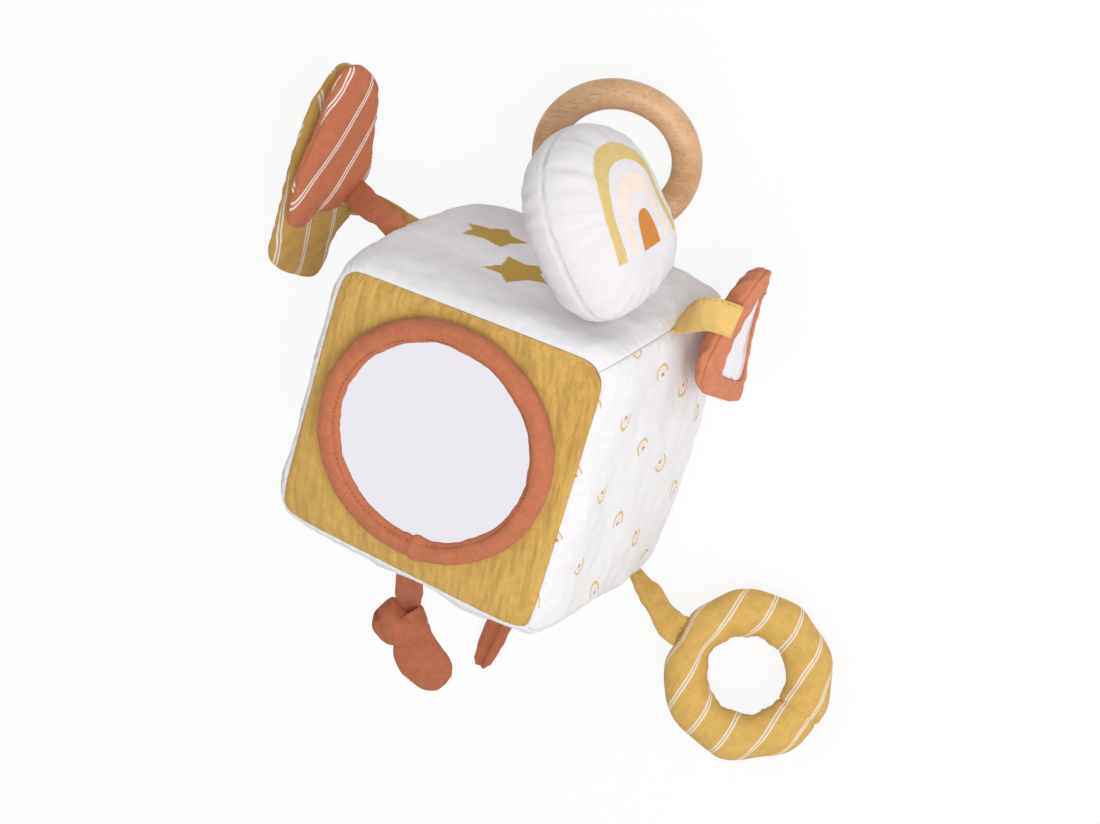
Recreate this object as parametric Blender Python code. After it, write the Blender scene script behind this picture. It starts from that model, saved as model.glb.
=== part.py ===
"""Soft fabric activity block for a baby, lying on its back with the mirror up.

Frame, in metres: X points to the block's right side, Y to its top side and Z out of the mirror.
The origin is the middle of the flat back, on the surface that the block lies on.
Each moving piece hangs under an empty that stands on its joint's axis.
"""

import math

import bmesh
import bpy
import numpy as np
from mathutils import Matrix, Vector

# Cloth and clearances shared by every sewn piece
CLOTH = 0.0010
GAP = 0.0003
FILM = 0.0003

# Block: six crowned panels round a foam core
BLOCK_HALF = 0.0635
BLOCK_FLAT = 0.0005
ROUNDNESS_POWER = 10.0
SKEW_SHARE = 0.082
FRONT_WRAP = 0.0028
PANEL_STEPS = 8

# Mirror disc and the stuffed tube sewn round it
MIRROR_TUBE_MEAN_RADIUS = 0.0446
MIRROR_TUBE_RADIUS = 0.0046
MIRROR_RIM_COVER = 0.0022
MIRROR_THICKNESS = 0.0015
MIRROR_OVAL_SHARE = 0.02
MIRROR_BEVEL = 0.0003
MIRROR_PLACE = (0.0015, 0.0040)

# Straps: woven tape, folded double where it is sewn in
STRAP_THICKNESS = 0.0022
STRAP_WIDTH = 0.0118
STRAP_LEAD = 0.0040
ROOT_CLEARANCE = 0.0007

# Rainbow pad: a fat two-panel cushion with a rattle inside
PAD_HALF_LENGTH = 0.0362
PAD_HALF_WIDTH = 0.0312
PAD_HALF_THICKNESS = 0.0218
PAD_ARCH_POWER = 2.2
PAD_BASE_POWER = 3.6
PAD_SWELL_POWER = 2.6
PAD_TAB_WIDTH = 0.0090
PAD_TAB_REACH = 0.0082
RATTLE_RADIUS = 0.0120
RATTLE_WALL = 0.0012
BEAD_RADIUS = 0.0024

# Two leaf flaps: flat padded leaves with crackling film under the front cloth.
# A REACH here and below runs from the root on the block to the named middle or end.
CLAY_LEAF_LENGTH = 0.0735
CLAY_LEAF_REACH = (-0.0351, 0.0228, -0.0110)
OCHRE_LEAF_LENGTH = 0.1030
OCHRE_LEAF_REACH = (-0.0460, 0.0030, -0.0090)
LEAF_HALF_THICKNESS = 0.0044
LEAF_SWELL_POWER = 5.0
CLAY_STRAP_SAG = -0.0010
OCHRE_STRAP_SAG = 0.0065
LEAF_STRAP_TURN = 0.0035

# Framed pad: a small pad with a window in its front, on a ribbon
FRAME_REACH = (0.0173, -0.0008, -0.0218)
FRAME_HALF_LENGTH = 0.0275
FRAME_HALF_WIDTH = 0.0235
FRAME_HALF_THICKNESS = 0.0085
FRAME_OUTLINE_POWER = 4.5
FRAME_SWELL_POWER = 3.2
FRAME_WINDOW_SHARE = 0.66
FRAME_WINDOW_COVER_SHARE = 0.08
RIBBON_WIDTH = 0.0140
RIBBON_ROOT_WIDTH = 0.0090
RIBBON_THICKNESS = 0.0016
RIBBON_SIDESTEP = 0.0040
RIBBON_RISE = 0.0075

# Beech ring in its loop
WOOD_OUTER_DIAMETER = 0.0700
WOOD_SECTION = 0.0125
WOOD_SIDESTEP = 0.0036
WOOD_LOOP_REACH = 0.0113
WOOD_LOOP_SLACK = 0.0009
WOOD_LOOP_WIDTH = 0.0120
WOOD_LOOP_THICKNESS = 0.0012
WOOD_LOOP_LAP = 0.0005

# Stuffed ring on a folded strap
SOFT_RING_REACH = (0.0614, -0.0164)
SOFT_RING_MEAN_RADIUS = 0.0256
SOFT_RING_TUBE_RADIUS = 0.0096
SOFT_RING_PUCKER_SHARE = 0.035
SOFT_RING_PUCKERS = 9
SOFT_STRAP_ROOT_WIDTH = 0.0060
SOFT_STRAP_END_WIDTH = 0.0150
SOFT_STRAP_THICKNESS = 0.0030
SOFT_STRAP_SAG = -0.0030
SOFT_STRAP_TURN_DEGREES = 9.0

# Knotted tail and folded tag
TAIL_WIDTH = 0.0115
TAIL_THICKNESS = 0.0028
TAIL_KNOT_REACH = (-0.0068, -0.0262, -0.0177)
TAIL_PADDLE_REACH = (0.0039, -0.0424, -0.0293)
KNOT_WIDTH = 0.0210
KNOT_THICKNESS = 0.0170
KNOT_HALF_LENGTH = 0.0085
NECK_WIDTH = 0.0110
NECK_THICKNESS = 0.0070
PADDLE_WIDTH = 0.0250
PADDLE_THICKNESS = 0.0080
PADDLE_HALF_LENGTH = 0.0145
TAG_END_REACH = (-0.0082, -0.0713)
TAG_WIDTH = 0.0115
TAG_THICKNESS = 0.0056

BLOCK_CENTRE = Vector((0.0, 0.0, BLOCK_HALF - BLOCK_FLAT))
SEAM_SHARE = GAP / BLOCK_HALF
WRAP_SHARE = FRONT_WRAP / BLOCK_HALF
MERGE_DISTANCE = 1e-7
UPRIGHT = Vector((0.0, 0.0, 1.0))
RIGHTWARD = Vector((1.0, 0.0, 0.0))

# Directions of the hanging pieces, and of their roots as rays from the block's centre
PAD_UP_DIRECTION = (-0.571, 0.790, 0.223)
PAD_OUT_DIRECTION = (0.821, 0.542, 0.180)
PAD_TAB_DIRECTION = (0.13, 0.98, 0.13)
PAD_ROOT_DIRECTION = (0.74, 1.0, 0.42)
LEAF_UP_DIRECTION = (0.0815, 0.9896, 0.1183)
LEAF_OUT_DIRECTION = (0.921, -0.120, 0.369)
CLAY_ROOT_DIRECTION = (-1.0, 1.0, 0.31)
OCHRE_ROOT_DIRECTION = (-1.0, 1.0, 0.0)
FRAME_UP_DIRECTION = (-0.10, 0.95, -0.30)
FRAME_OUT_DIRECTION = (0.985, 0.02, -0.09)
FRAME_ROOT_DIRECTION = (1.0, 1.0, -0.03)
WOOD_OUT_DIRECTION = (0.305, -0.184, 0.935)
LOOP_DIRECTION = (0.0, 1.0, 0.0)
WOOD_ROOT_DIRECTION = (-0.06, 1.0, -0.99)
SOFT_RING_OUT_DIRECTION = (0.213, 0.407, 0.888)
SOFT_RING_ROOT_DIRECTION = (1.0, -1.0, -0.86)
TAIL_ROOT_DIRECTION = (0.07, -1.0, 1.0)
TAG_ROOT_DIRECTION = (0.19, -1.0, -0.98)
PADDLE_SIDE_DIRECTION = (0.488, 0.742, -0.460)

FILM_REACH_SHARE = 0.85
WADDING_REACH_SHARE = 0.97

# Finishes: name, colour, roughness and metallic value
WHITE_MUSLIN = ("white muslin", (0.82, 0.80, 0.80), 0.9, 0.0)
OCHRE_CLOTH = ("ochre cloth", (0.62, 0.40, 0.11), 0.9, 0.0)
CLAY_CLOTH = ("clay cloth", (0.60, 0.24, 0.13), 0.9, 0.0)
BEECH = ("beech", (0.62, 0.38, 0.19), 0.45, 0.0)
MIRROR = ("mirror", (0.90, 0.90, 0.92), 0.05, 1.0)
WINDOW_FILM = ("window film", (0.80, 0.79, 0.84), 0.2, 0.0)
CRACKLING_FILM = ("crackling film", (0.85, 0.86, 0.88), 0.15, 0.0)
WADDING = ("wadding", (0.82, 0.80, 0.80), 1.0, 0.0)
FOAM = ("foam", (0.82, 0.80, 0.80), 1.0, 0.0)
RATTLE_PLASTIC = ("rattle plastic", (0.75, 0.78, 0.80), 0.4, 0.0)
RATTLE_BEADS = ("rattle beads", (0.60, 0.24, 0.13), 0.5, 0.0)


def material(piece, finish):
    """A piece's own Principled material."""
    label, colour, roughness, metallic = finish
    made = bpy.data.materials.new(f"{piece} {label}")
    made.use_nodes = True
    shader = made.node_tree.nodes["Principled BSDF"]
    shader.inputs["Base Color"].default_value = (*colour, 1.0)
    shader.inputs["Roughness"].default_value = roughness
    shader.inputs["Metallic"].default_value = metallic
    return made


def clear_scene():
    """Removes what the file already holds."""
    for old in list(bpy.data.objects):
        bpy.data.objects.remove(old, do_unlink=True)


def pivot(name, place):
    """An empty on a joint's axis, which carries the pieces that turn about it."""
    empty = bpy.data.objects.new(name, None)
    bpy.context.scene.collection.objects.link(empty)
    empty.location = place
    return empty


def add_piece(name, mesh, parent, frame, finish):
    """Links a mesh as one named piece under its pivot; frame is its place in the block's frame."""
    piece = bpy.data.objects.new(name, mesh)
    bpy.context.scene.collection.objects.link(piece)
    piece.parent = parent
    piece.matrix_local = Matrix.Translation(-parent.location) @ frame
    mesh.materials.append(material(name, finish))
    mesh.shade_smooth()
    mesh.set_sharp_from_angle(angle=math.radians(40))
    return piece


def mesh_of(name, points, faces):
    """A closed mesh whose doubled points are merged and whose faces point outwards."""
    shape = bmesh.new()
    corners = [shape.verts.new(point) for point in points]
    for face in faces:
        shape.faces.new([corners[index] for index in face])
    bmesh.ops.remove_doubles(shape, verts=shape.verts, dist=MERGE_DISTANCE)
    bmesh.ops.recalc_face_normals(shape, faces=shape.faces)
    mesh = bpy.data.meshes.new(name)
    shape.to_mesh(mesh)
    shape.free()
    return mesh


def grid_mesh(name, rows, close_rows):
    """A grid of points closed round its columns, with poles or caps at its ends, or closed into a ring."""
    count, around = rows.shape[:2]
    faces = []
    for row in range(count if close_rows else count - 1):
        for column in range(around):
            here, there = row * around, (row + 1) % count * around
            after = (column + 1) % around
            faces.append((here + column, here + after, there + after, there + column))
    if not close_rows:
        for row in (0, count - 1):
            if np.ptp(rows[row], axis=0).max() > MERGE_DISTANCE:
                faces.append(tuple(row * around + np.arange(around)))
    points = rows.reshape(-1, 3)
    return mesh_of(name, points.tolist(), faces)


def frame_of(origin, across, up, out):
    """The matrix that puts a piece's own x, y and z along three directions."""
    turn = Matrix((across, up, out)).transposed().to_4x4()
    return Matrix.Translation(origin) @ turn


def square_axes(up, out):
    """Three square directions: out is kept, up is turned square to it, and across follows."""
    out = Vector(out).normalized()
    up = Vector(up)
    up = (up - out * up.dot(out)).normalized()
    return up.cross(out), up, out


def smooth_line(points, steps):
    """A rounded line through the points: each stretch is a cubic with Catmull-Rom slopes."""
    points = np.asarray(points, float)
    ends = np.vstack([2 * points[0] - points[1], points, 2 * points[-1] - points[-2]])
    share = np.linspace(0.0, 1.0, steps, endpoint=False)[:, None]
    stretches = [cubic(ends[i : i + 4], share) for i in range(len(points) - 1)]
    return np.vstack([*stretches, points[-1:]])


def smooth_loop(points, steps):
    """A rounded closed line through the points."""
    points = np.asarray(points, float)
    share = np.linspace(0.0, 1.0, steps, endpoint=False)[:, None]
    around = [np.roll(points, 1 - i, axis=0)[:4] for i in range(len(points))]
    return np.vstack([cubic(four, share) for four in around])


def cubic(four, share):
    """Points between the middle two of four points, with slopes from their neighbours."""
    before, start, end, after = four
    return start + share / 2 * (
        (end - before)
        + share * (2 * before - 5 * start + 4 * end - after + share * (3 * start - before - 3 * end + after))
    )


def even_loop(points, count):
    """The closed line cut into equal lengths."""
    closed = np.vstack([points, points[:1]])
    run = np.concatenate([[0.0], np.cumsum(np.linalg.norm(np.diff(closed, axis=0), axis=1))])
    at = np.linspace(0.0, run[-1], count, endpoint=False)
    return np.stack([np.interp(at, run, closed[:, k]) for k in range(closed.shape[1])], axis=1)


def ribbon_mesh(name, centres, widths, sides, thicknesses, corners=8, squareness_share=0.6):
    """A flat tape: a rounded oblong section carried along a line.

    sides gives the direction of the tape's width at each point of the line.
    """
    centres, sides = np.asarray(centres, float), np.asarray(sides, float)
    along = np.gradient(centres, axis=0)
    along /= np.linalg.norm(along, axis=1)[:, None]
    sides = sides - along * np.sum(sides * along, axis=1)[:, None]
    sides /= np.linalg.norm(sides, axis=1)[:, None]
    flat = np.cross(along, sides)
    turn = (np.arange(corners) + 0.5) * 2 * math.pi / corners
    wide = np.sign(np.cos(turn)) * abs(np.cos(turn)) ** squareness_share / 2
    thick = np.sign(np.sin(turn)) * abs(np.sin(turn)) ** squareness_share / 2
    rows = (
        centres[:, None]
        + sides[:, None] * (np.asarray(widths, float)[:, None] * wide)[:, :, None]
        + flat[:, None] * (np.asarray(thicknesses, float)[:, None] * thick)[:, :, None]
    )
    return grid_mesh(name, rows, close_rows=False)


def spread(values, count):
    """Values given at even steps along a line, read at count points."""
    values = np.asarray(values, float)
    at = np.linspace(0.0, len(values) - 1.0, count)
    if values.ndim == 1:
        return np.interp(at, np.arange(len(values)), values)
    return np.stack([np.interp(at, np.arange(len(values)), column) for column in values.T], axis=1)


def strap_mesh(name, points, sides, widths, thickness, steps=4):
    """A tape along a rounded line whose first end is drawn in round over half the thickness."""
    points = np.array([tuple(point) for point in points])
    line = smooth_line(points, steps)
    first = (points[1] - points[0]) / np.linalg.norm(points[1] - points[0])
    last = (points[-1] - points[-2]) / np.linalg.norm(points[-1] - points[-2])
    # The end rows lie square to the first and the last stretch.
    line = np.vstack([line[0] - first * thickness / 2, line[:-1], line[-1] - last * thickness / 4, line[-1]])
    count = len(line)
    thicknesses = np.full(count, thickness)
    thicknesses[0] = thickness / 3
    return ribbon_mesh(name, line, spread(widths, count), spread(sides, count), thicknesses)


def lead_from(root, outward, axis):
    """A point a little way out from a root, square to its hinge's axis."""
    way = Vector(outward)
    way -= axis * way.dot(axis)
    return root + way.normalized() * STRAP_LEAD


# The block


def block_surface(a, b, c, inset):
    """Where rays from the block's centre meet its crowned surface, drawn in by inset.

    The surface is |x|^p + |y|^p + |z|^p = half^p, a little longer in Y towards the right and the back,
    and flat where it rests on the floor.
    """
    half = BLOCK_HALF - inset
    reach = half / (abs(a) ** ROUNDNESS_POWER + abs(b) ** ROUNDNESS_POWER + abs(c) ** ROUNDNESS_POWER) ** (
        1 / ROUNDNESS_POWER
    )
    x, y, z = a * reach, b * reach, c * reach
    y = y * (1 + SKEW_SHARE * (x - z) / (2 * BLOCK_HALF))
    z = np.maximum(z, inset - BLOCK_CENTRE.z)
    return np.stack([x, y, z], axis=-1)


def edge_root(direction, stand_off):
    """A point just outside the block's surface, in the block's frame, where a strap is sewn in."""
    a, b, c = (np.float64(share) for share in direction)
    outward = Vector(direction).normalized()
    return Vector(block_surface(a, b, c, 0.0)) + outward * stand_off + BLOCK_CENTRE


def eased_shares(low, high, steps):
    """Shares across a panel, closer together near both of its edges."""
    eased = np.sin(np.linspace(-1.0, 1.0, steps + 1) * math.pi / 2)
    return low + (high - low) * (eased + 1) / 2


def side_rays(across, along):
    """Rays through a side panel: along runs from the back edge to the front one and on over the front."""
    over = np.maximum(along - 1, 0.0)
    return across * (1 - over), 1 - over, np.minimum(along, 1.0)


def sheet_mesh(name, outer, inner):
    """A cloth panel: two grids of points joined round their edge."""
    rows, columns = outer.shape[:2]
    total = rows * columns
    faces = []
    for row in range(rows - 1):
        for column in range(columns - 1):
            a, b = row * columns + column, row * columns + column + 1
            c, d = b + columns, a + columns
            faces += [(a, b, c, d), (total + d, total + c, total + b, total + a)]
    border = [i for i in range(columns)]
    border += [row * columns + columns - 1 for row in range(1, rows)]
    border += [(rows - 1) * columns + i for i in range(columns - 2, -1, -1)]
    border += [row * columns for row in range(rows - 2, 0, -1)]
    for here, there in zip(border, border[1:] + border[:1]):
        faces.append((there, here, total + here, total + there))
    return mesh_of(name, np.concatenate([outer, inner]).reshape(-1, 3).tolist(), faces)


def build_block(parent):
    """The foam core and its six panels: the ochre front is set in, so that the white sides wrap over its edge."""
    placed = Matrix.Translation(BLOCK_CENTRE)
    edge = 1 - SEAM_SHARE
    across = eased_shares(-edge, edge, PANEL_STEPS)
    along = eased_shares(-edge, 1.0, PANEL_STEPS)
    along = np.append(along, 1 + WRAP_SHARE - SEAM_SHARE)
    over_across, over_along = np.meshgrid(across, along)
    rays = side_rays(over_across, over_along)
    turns = {
        "top_panel": lambda a, b, c: (a, b, c),
        "right_panel": lambda a, b, c: (b, -a, c),
        "bottom_panel": lambda a, b, c: (-a, -b, c),
        "left_panel": lambda a, b, c: (-b, a, c),
    }
    for name, turn in turns.items():
        skins = [block_surface(*turn(*rays), inset) for inset in (0.0, CLOTH)]
        add_piece(name, sheet_mesh(name, *skins), parent, placed, WHITE_MUSLIN)
    front_edge = 1 - WRAP_SHARE - SEAM_SHARE
    for name, reach, side, finish in (("front_panel", front_edge, 1.0, OCHRE_CLOTH), ("back_panel", edge, -1.0, WHITE_MUSLIN)):
        a, b = np.meshgrid(*[eased_shares(-reach, reach, PANEL_STEPS)] * 2)
        skins = [block_surface(a, b, np.full_like(a, side), inset) for inset in (0.0, CLOTH)]
        add_piece(name, sheet_mesh(name, *skins), parent, placed, finish)
    add_piece("foam_core", core_mesh(), parent, placed, FOAM)


def core_mesh():
    """The foam inside: the block's surface, drawn in by the cloth and the clearance."""
    shares = eased_shares(-1.0, 1.0, PANEL_STEPS)
    a, b = np.meshgrid(shares, shares)
    one = np.ones_like(a)
    sides = [(a, b, one), (a, b, -one), (a, one, b), (a, -one, b), (one, a, b), (-one, a, b)]
    points, faces = [], []
    for side in sides:
        start = len(points)
        points += block_surface(*side, CLOTH + GAP).reshape(-1, 3).tolist()
        for row in range(PANEL_STEPS):
            for column in range(PANEL_STEPS):
                corner = start + row * (PANEL_STEPS + 1) + column
                above = corner + PANEL_STEPS + 1
                faces.append((corner, corner + 1, above + 1, above))
    return mesh_of("foam_core", points, faces)


# The mirror


def ring_rows(section, mean_radius, columns, stretch=(1.0, 1.0)):
    """A section of (radius offset, height) points carried round the z axis."""
    turn = np.linspace(0.0, 2 * math.pi, columns, endpoint=False)
    radius = mean_radius + section[:, :1]
    height = np.broadcast_to(section[:, 1:], (len(section), columns))
    return np.stack([radius * np.cos(turn) * stretch[0], radius * np.sin(turn) * stretch[1], height], axis=-1)


def arc_section(radius, start, end, steps):
    """Points of an arc of a section, angles in degrees."""
    turn = np.radians(np.linspace(start, end, steps))
    return np.stack([radius * np.cos(turn), radius * np.sin(turn)], axis=1)


def build_mirror(parent):
    """The mirror disc, whose rim lies in the mouth of the stuffed tube round it."""
    seat = BLOCK_CENTRE.z + BLOCK_HALF + GAP
    oval = (1 + MIRROR_OVAL_SHARE, 1 - MIRROR_OVAL_SHARE)
    disc = bmesh.new()
    bmesh.ops.create_cone(
        disc,
        cap_ends=True,
        segments=40,
        radius1=MIRROR_TUBE_MEAN_RADIUS - MIRROR_RIM_COVER,
        radius2=MIRROR_TUBE_MEAN_RADIUS - MIRROR_RIM_COVER,
        depth=MIRROR_THICKNESS,
    )
    bmesh.ops.scale(disc, vec=(*oval, 1.0), verts=disc.verts)
    mesh = bpy.data.meshes.new("mirror_disc")
    disc.to_mesh(mesh)
    disc.free()
    place = Matrix.Translation((*MIRROR_PLACE, seat + MIRROR_THICKNESS / 2))
    piece = add_piece("mirror_disc", mesh, parent, place, MIRROR)
    bevel = piece.modifiers.new("eased rim", "BEVEL")
    bevel.width = MIRROR_BEVEL
    bevel.segments = 1
    # The mouth runs from under the tube to where the cloth clears the mirror's face.
    clear = (MIRROR_TUBE_RADIUS - MIRROR_THICKNESS - GAP) / MIRROR_TUBE_RADIUS
    lip = 180 + math.degrees(math.asin(clear))
    cover = np.vstack([
        arc_section(MIRROR_TUBE_RADIUS, -80, lip, 9),
        arc_section(MIRROR_TUBE_RADIUS - CLOTH, lip, -80, 7),
    ])
    middle = Matrix.Translation((*MIRROR_PLACE, seat + MIRROR_TUBE_RADIUS))
    rows = ring_rows(cover, MIRROR_TUBE_MEAN_RADIUS, 40, oval)
    add_piece("mirror_tube_cover", grid_mesh("mirror_tube_cover", rows, True), parent, middle, CLAY_CLOTH)
    filling_radius = MIRROR_TUBE_RADIUS - CLOTH - GAP
    filling = arc_section(filling_radius, -80, lip, 7)
    rows = ring_rows(filling, MIRROR_TUBE_MEAN_RADIUS, 40, oval)
    add_piece("mirror_tube_filling", grid_mesh("mirror_tube_filling", rows, True), parent, middle, WADDING)


# Pads sewn from two panels


def dome_rows(outline, height, inset, side, steps, low_share=0.0, swell_power=2.6):
    """Rings of points over a pad's half, from its middle (or a share of its outline) to its rim.

    A ring at share s of the outline stands at height * sqrt(1 - s^power) above the seam.
    """
    reach = 1 - inset / np.linalg.norm(outline, axis=1).min()
    start = math.asin(low_share)
    shares = np.sin(np.linspace(start, math.pi / 2, steps + 1))[:, None]
    tall = height - inset - GAP / 2
    rise = GAP / 2 + tall * np.sqrt(np.maximum(1 - shares**swell_power, 0.0))
    plan = outline[None] * shares[:, :, None] * reach
    lift = np.broadcast_to(side * rise, plan.shape[:2])
    return np.concatenate([plan, lift[:, :, None]], axis=2)


def cloth_half(outline, height, side, steps, power):
    """The cloth of one half of a pad, from its outer face round the rim to its inner face."""
    outer = dome_rows(outline, height, 0.0, side, steps, swell_power=power)
    inner = dome_rows(outline, height, CLOTH, side, steps, swell_power=power)
    return np.concatenate([outer, inner[::-1]])


def lining_sheet(outline, height, inset, thickness, side, steps, power, reach_share):
    """A thin sheet that follows the inside of a pad's half and stops short of its rim."""
    outer = dome_rows(outline * reach_share, height, inset, side, steps, swell_power=power)
    outer[..., 2] = sheet_rise(outer, outline, height, inset, side, power)
    inner = outer.copy()
    inner[..., 2] -= side * thickness
    return np.concatenate([outer, inner[::-1]])


def sheet_rise(rows, outline, height, inset, side, power):
    """The height of a pad's half, drawn in by inset, over the plan points of a sheet within it."""
    reach = 1 - inset / np.linalg.norm(outline, axis=1).min()
    shares = np.linalg.norm(rows[..., :2], axis=2) / (np.linalg.norm(outline, axis=1) * reach)
    tall = height - inset - GAP / 2
    return side * (GAP / 2 + tall * np.sqrt(np.maximum(1 - shares**power, 0.0)))


def oval_outline(half_length, half_width, top_power, base_power, count):
    """A superellipse with its long way along y, whose top and base may be more or less square."""
    turn = np.linspace(0.0, 2 * math.pi, 4 * count, endpoint=False)
    power = np.where(np.sin(turn) > 0, top_power, base_power)
    x = np.sign(np.cos(turn)) * abs(np.cos(turn)) ** (2 / power) * half_width
    y = np.sign(np.sin(turn)) * abs(np.sin(turn)) ** (2 / power) * half_length
    return even_loop(np.stack([x, y], axis=1), count)


def build_rainbow_pad(parent, root):
    """The white cushion: two panels, its filling in two halves and the rattle in the middle."""
    across, up, out = square_axes(PAD_UP_DIRECTION, PAD_OUT_DIRECTION)
    tab_end = root + Vector(PAD_TAB_DIRECTION).normalized() * PAD_TAB_REACH
    centre = tab_end + up * (PAD_HALF_LENGTH + GAP)
    frame = frame_of(centre, across, up, out)
    outline = oval_outline(PAD_HALF_LENGTH, PAD_HALF_WIDTH, PAD_ARCH_POWER, PAD_BASE_POWER, 24)
    pocket = RATTLE_RADIUS + GAP
    for name, side in (("front", 1), ("back", -1)):
        rows = cloth_half(outline, PAD_HALF_THICKNESS, side, 5, PAD_SWELL_POWER)
        add_piece(f"rainbow_pad_{name}_cloth", grid_mesh("cloth", rows, False), parent, frame, WHITE_MUSLIN)
        dome = dome_rows(outline, PAD_HALF_THICKNESS, CLOTH + GAP, side, 5, swell_power=PAD_SWELL_POWER)
        bowl = ball_rows(pocket, side, 24, 3)[::-1]
        rows = np.concatenate([dome, bowl])
        add_piece(f"rainbow_pad_{name}_filling", grid_mesh("filling", rows, False), parent, frame, WADDING)
        shell = np.concatenate([
            ball_rows(RATTLE_RADIUS, side, 24, 3),
            ball_rows(RATTLE_RADIUS - RATTLE_WALL, side, 24, 3)[::-1],
        ])
        add_piece(f"rattle_capsule_{name}", grid_mesh("capsule", shell, False), parent, frame, RATTLE_PLASTIC)
    place_beads(parent, centre, RATTLE_BEADS)
    approach = tab_end - up * STRAP_LEAD / 2
    line = [root, lead_from(root, PAD_TAB_DIRECTION, UPRIGHT), approach, tab_end]
    widths = [PAD_TAB_WIDTH, PAD_TAB_WIDTH]
    mesh = strap_mesh("rainbow_pad_tab", line, [UPRIGHT, UPRIGHT, -across, -across], widths, STRAP_THICKNESS)
    add_piece("rainbow_pad_tab", mesh, parent, Matrix.Identity(4), WHITE_MUSLIN)


def ball_rows(radius, side, columns, steps):
    """Rings over half a ball, from its pole to its rim beside the seam plane."""
    lean = np.linspace(0.0, math.acos(GAP / 2 / radius), steps + 1)[:, None]
    turn = np.linspace(0.0, 2 * math.pi, columns, endpoint=False)
    x, y = radius * np.sin(lean) * np.cos(turn), radius * np.sin(lean) * np.sin(turn)
    return np.stack([x, y, np.broadcast_to(side * radius * np.cos(lean), x.shape)], axis=-1)


def place_beads(parent, centre, finish):
    """Three loose beads lie together at the bottom of the rattle."""
    inside = RATTLE_RADIUS - RATTLE_WALL - GAP - BEAD_RADIUS
    ring = (BEAD_RADIUS + GAP / 2) / math.cos(math.pi / 6) * (1 + SEAM_SHARE)
    for number in range(3):
        turn = number * 2 * math.pi / 3
        drop = math.sqrt(inside**2 - ring**2)
        place = centre + Vector((ring * math.cos(turn), ring * math.sin(turn), -drop))
        ball = bmesh.new()
        bmesh.ops.create_icosphere(ball, subdivisions=2, radius=BEAD_RADIUS)
        mesh = bpy.data.meshes.new("bead")
        ball.to_mesh(mesh)
        ball.free()
        add_piece(f"rattle_bead_{number + 1}", mesh, parent, Matrix.Translation(place), finish)


# Leaf flaps

# Leaf outlines as shares of the leaf's length, from its top round by its right side.
CLAY_OUTLINE_SHARES = (
    (-0.13, 0.47), (-0.03, 0.50), (0.09, 0.42), (0.15, 0.31), (0.22, -0.01), (0.245, -0.11),
    (0.240, -0.22), (0.14, -0.36), (0.04, -0.41), (-0.06, -0.42), (-0.13, -0.50), (-0.22, -0.465),
    (-0.245, -0.29), (-0.245, -0.13), (-0.20, 0.12), (-0.18, 0.35),
)
CLAY_STRAP_SHARE = (0.165, -0.325)
OCHRE_OUTLINE_SHARES = (
    (-0.118, 0.464), (-0.065, 0.500), (0.0, 0.474), (0.08, 0.40), (0.135, 0.24), (0.175, 0.05),
    (0.198, -0.12), (0.195, -0.20), (0.175, -0.25), (0.135, -0.32), (0.135, -0.42), (0.11, -0.485),
    (0.02, -0.48), (-0.11, -0.43), (-0.175, -0.36), (-0.18, -0.24), (-0.19, -0.06), (-0.197, 0.12),
    (-0.18, 0.30),
)
OCHRE_STRAP_SHARE = (0.190, -0.110)


def leaf_rim(outline, share, length):
    """The rim point nearest to a share of the leaf, with the directions along the rim and out of it."""
    turn = np.arctan2(outline[:, 1], outline[:, 0]) - math.atan2(share[1], share[0])
    nearest = int(np.argmin(abs((turn + math.pi) % (2 * math.pi) - math.pi)))
    before, after = outline[nearest - 1], outline[(nearest + 1) % len(outline)]
    along = (after - before) / np.linalg.norm(after - before)
    outward = np.array([along[1], -along[0]])
    outward *= np.sign(outward @ outline[nearest])
    return outline[nearest], along, outward


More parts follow.
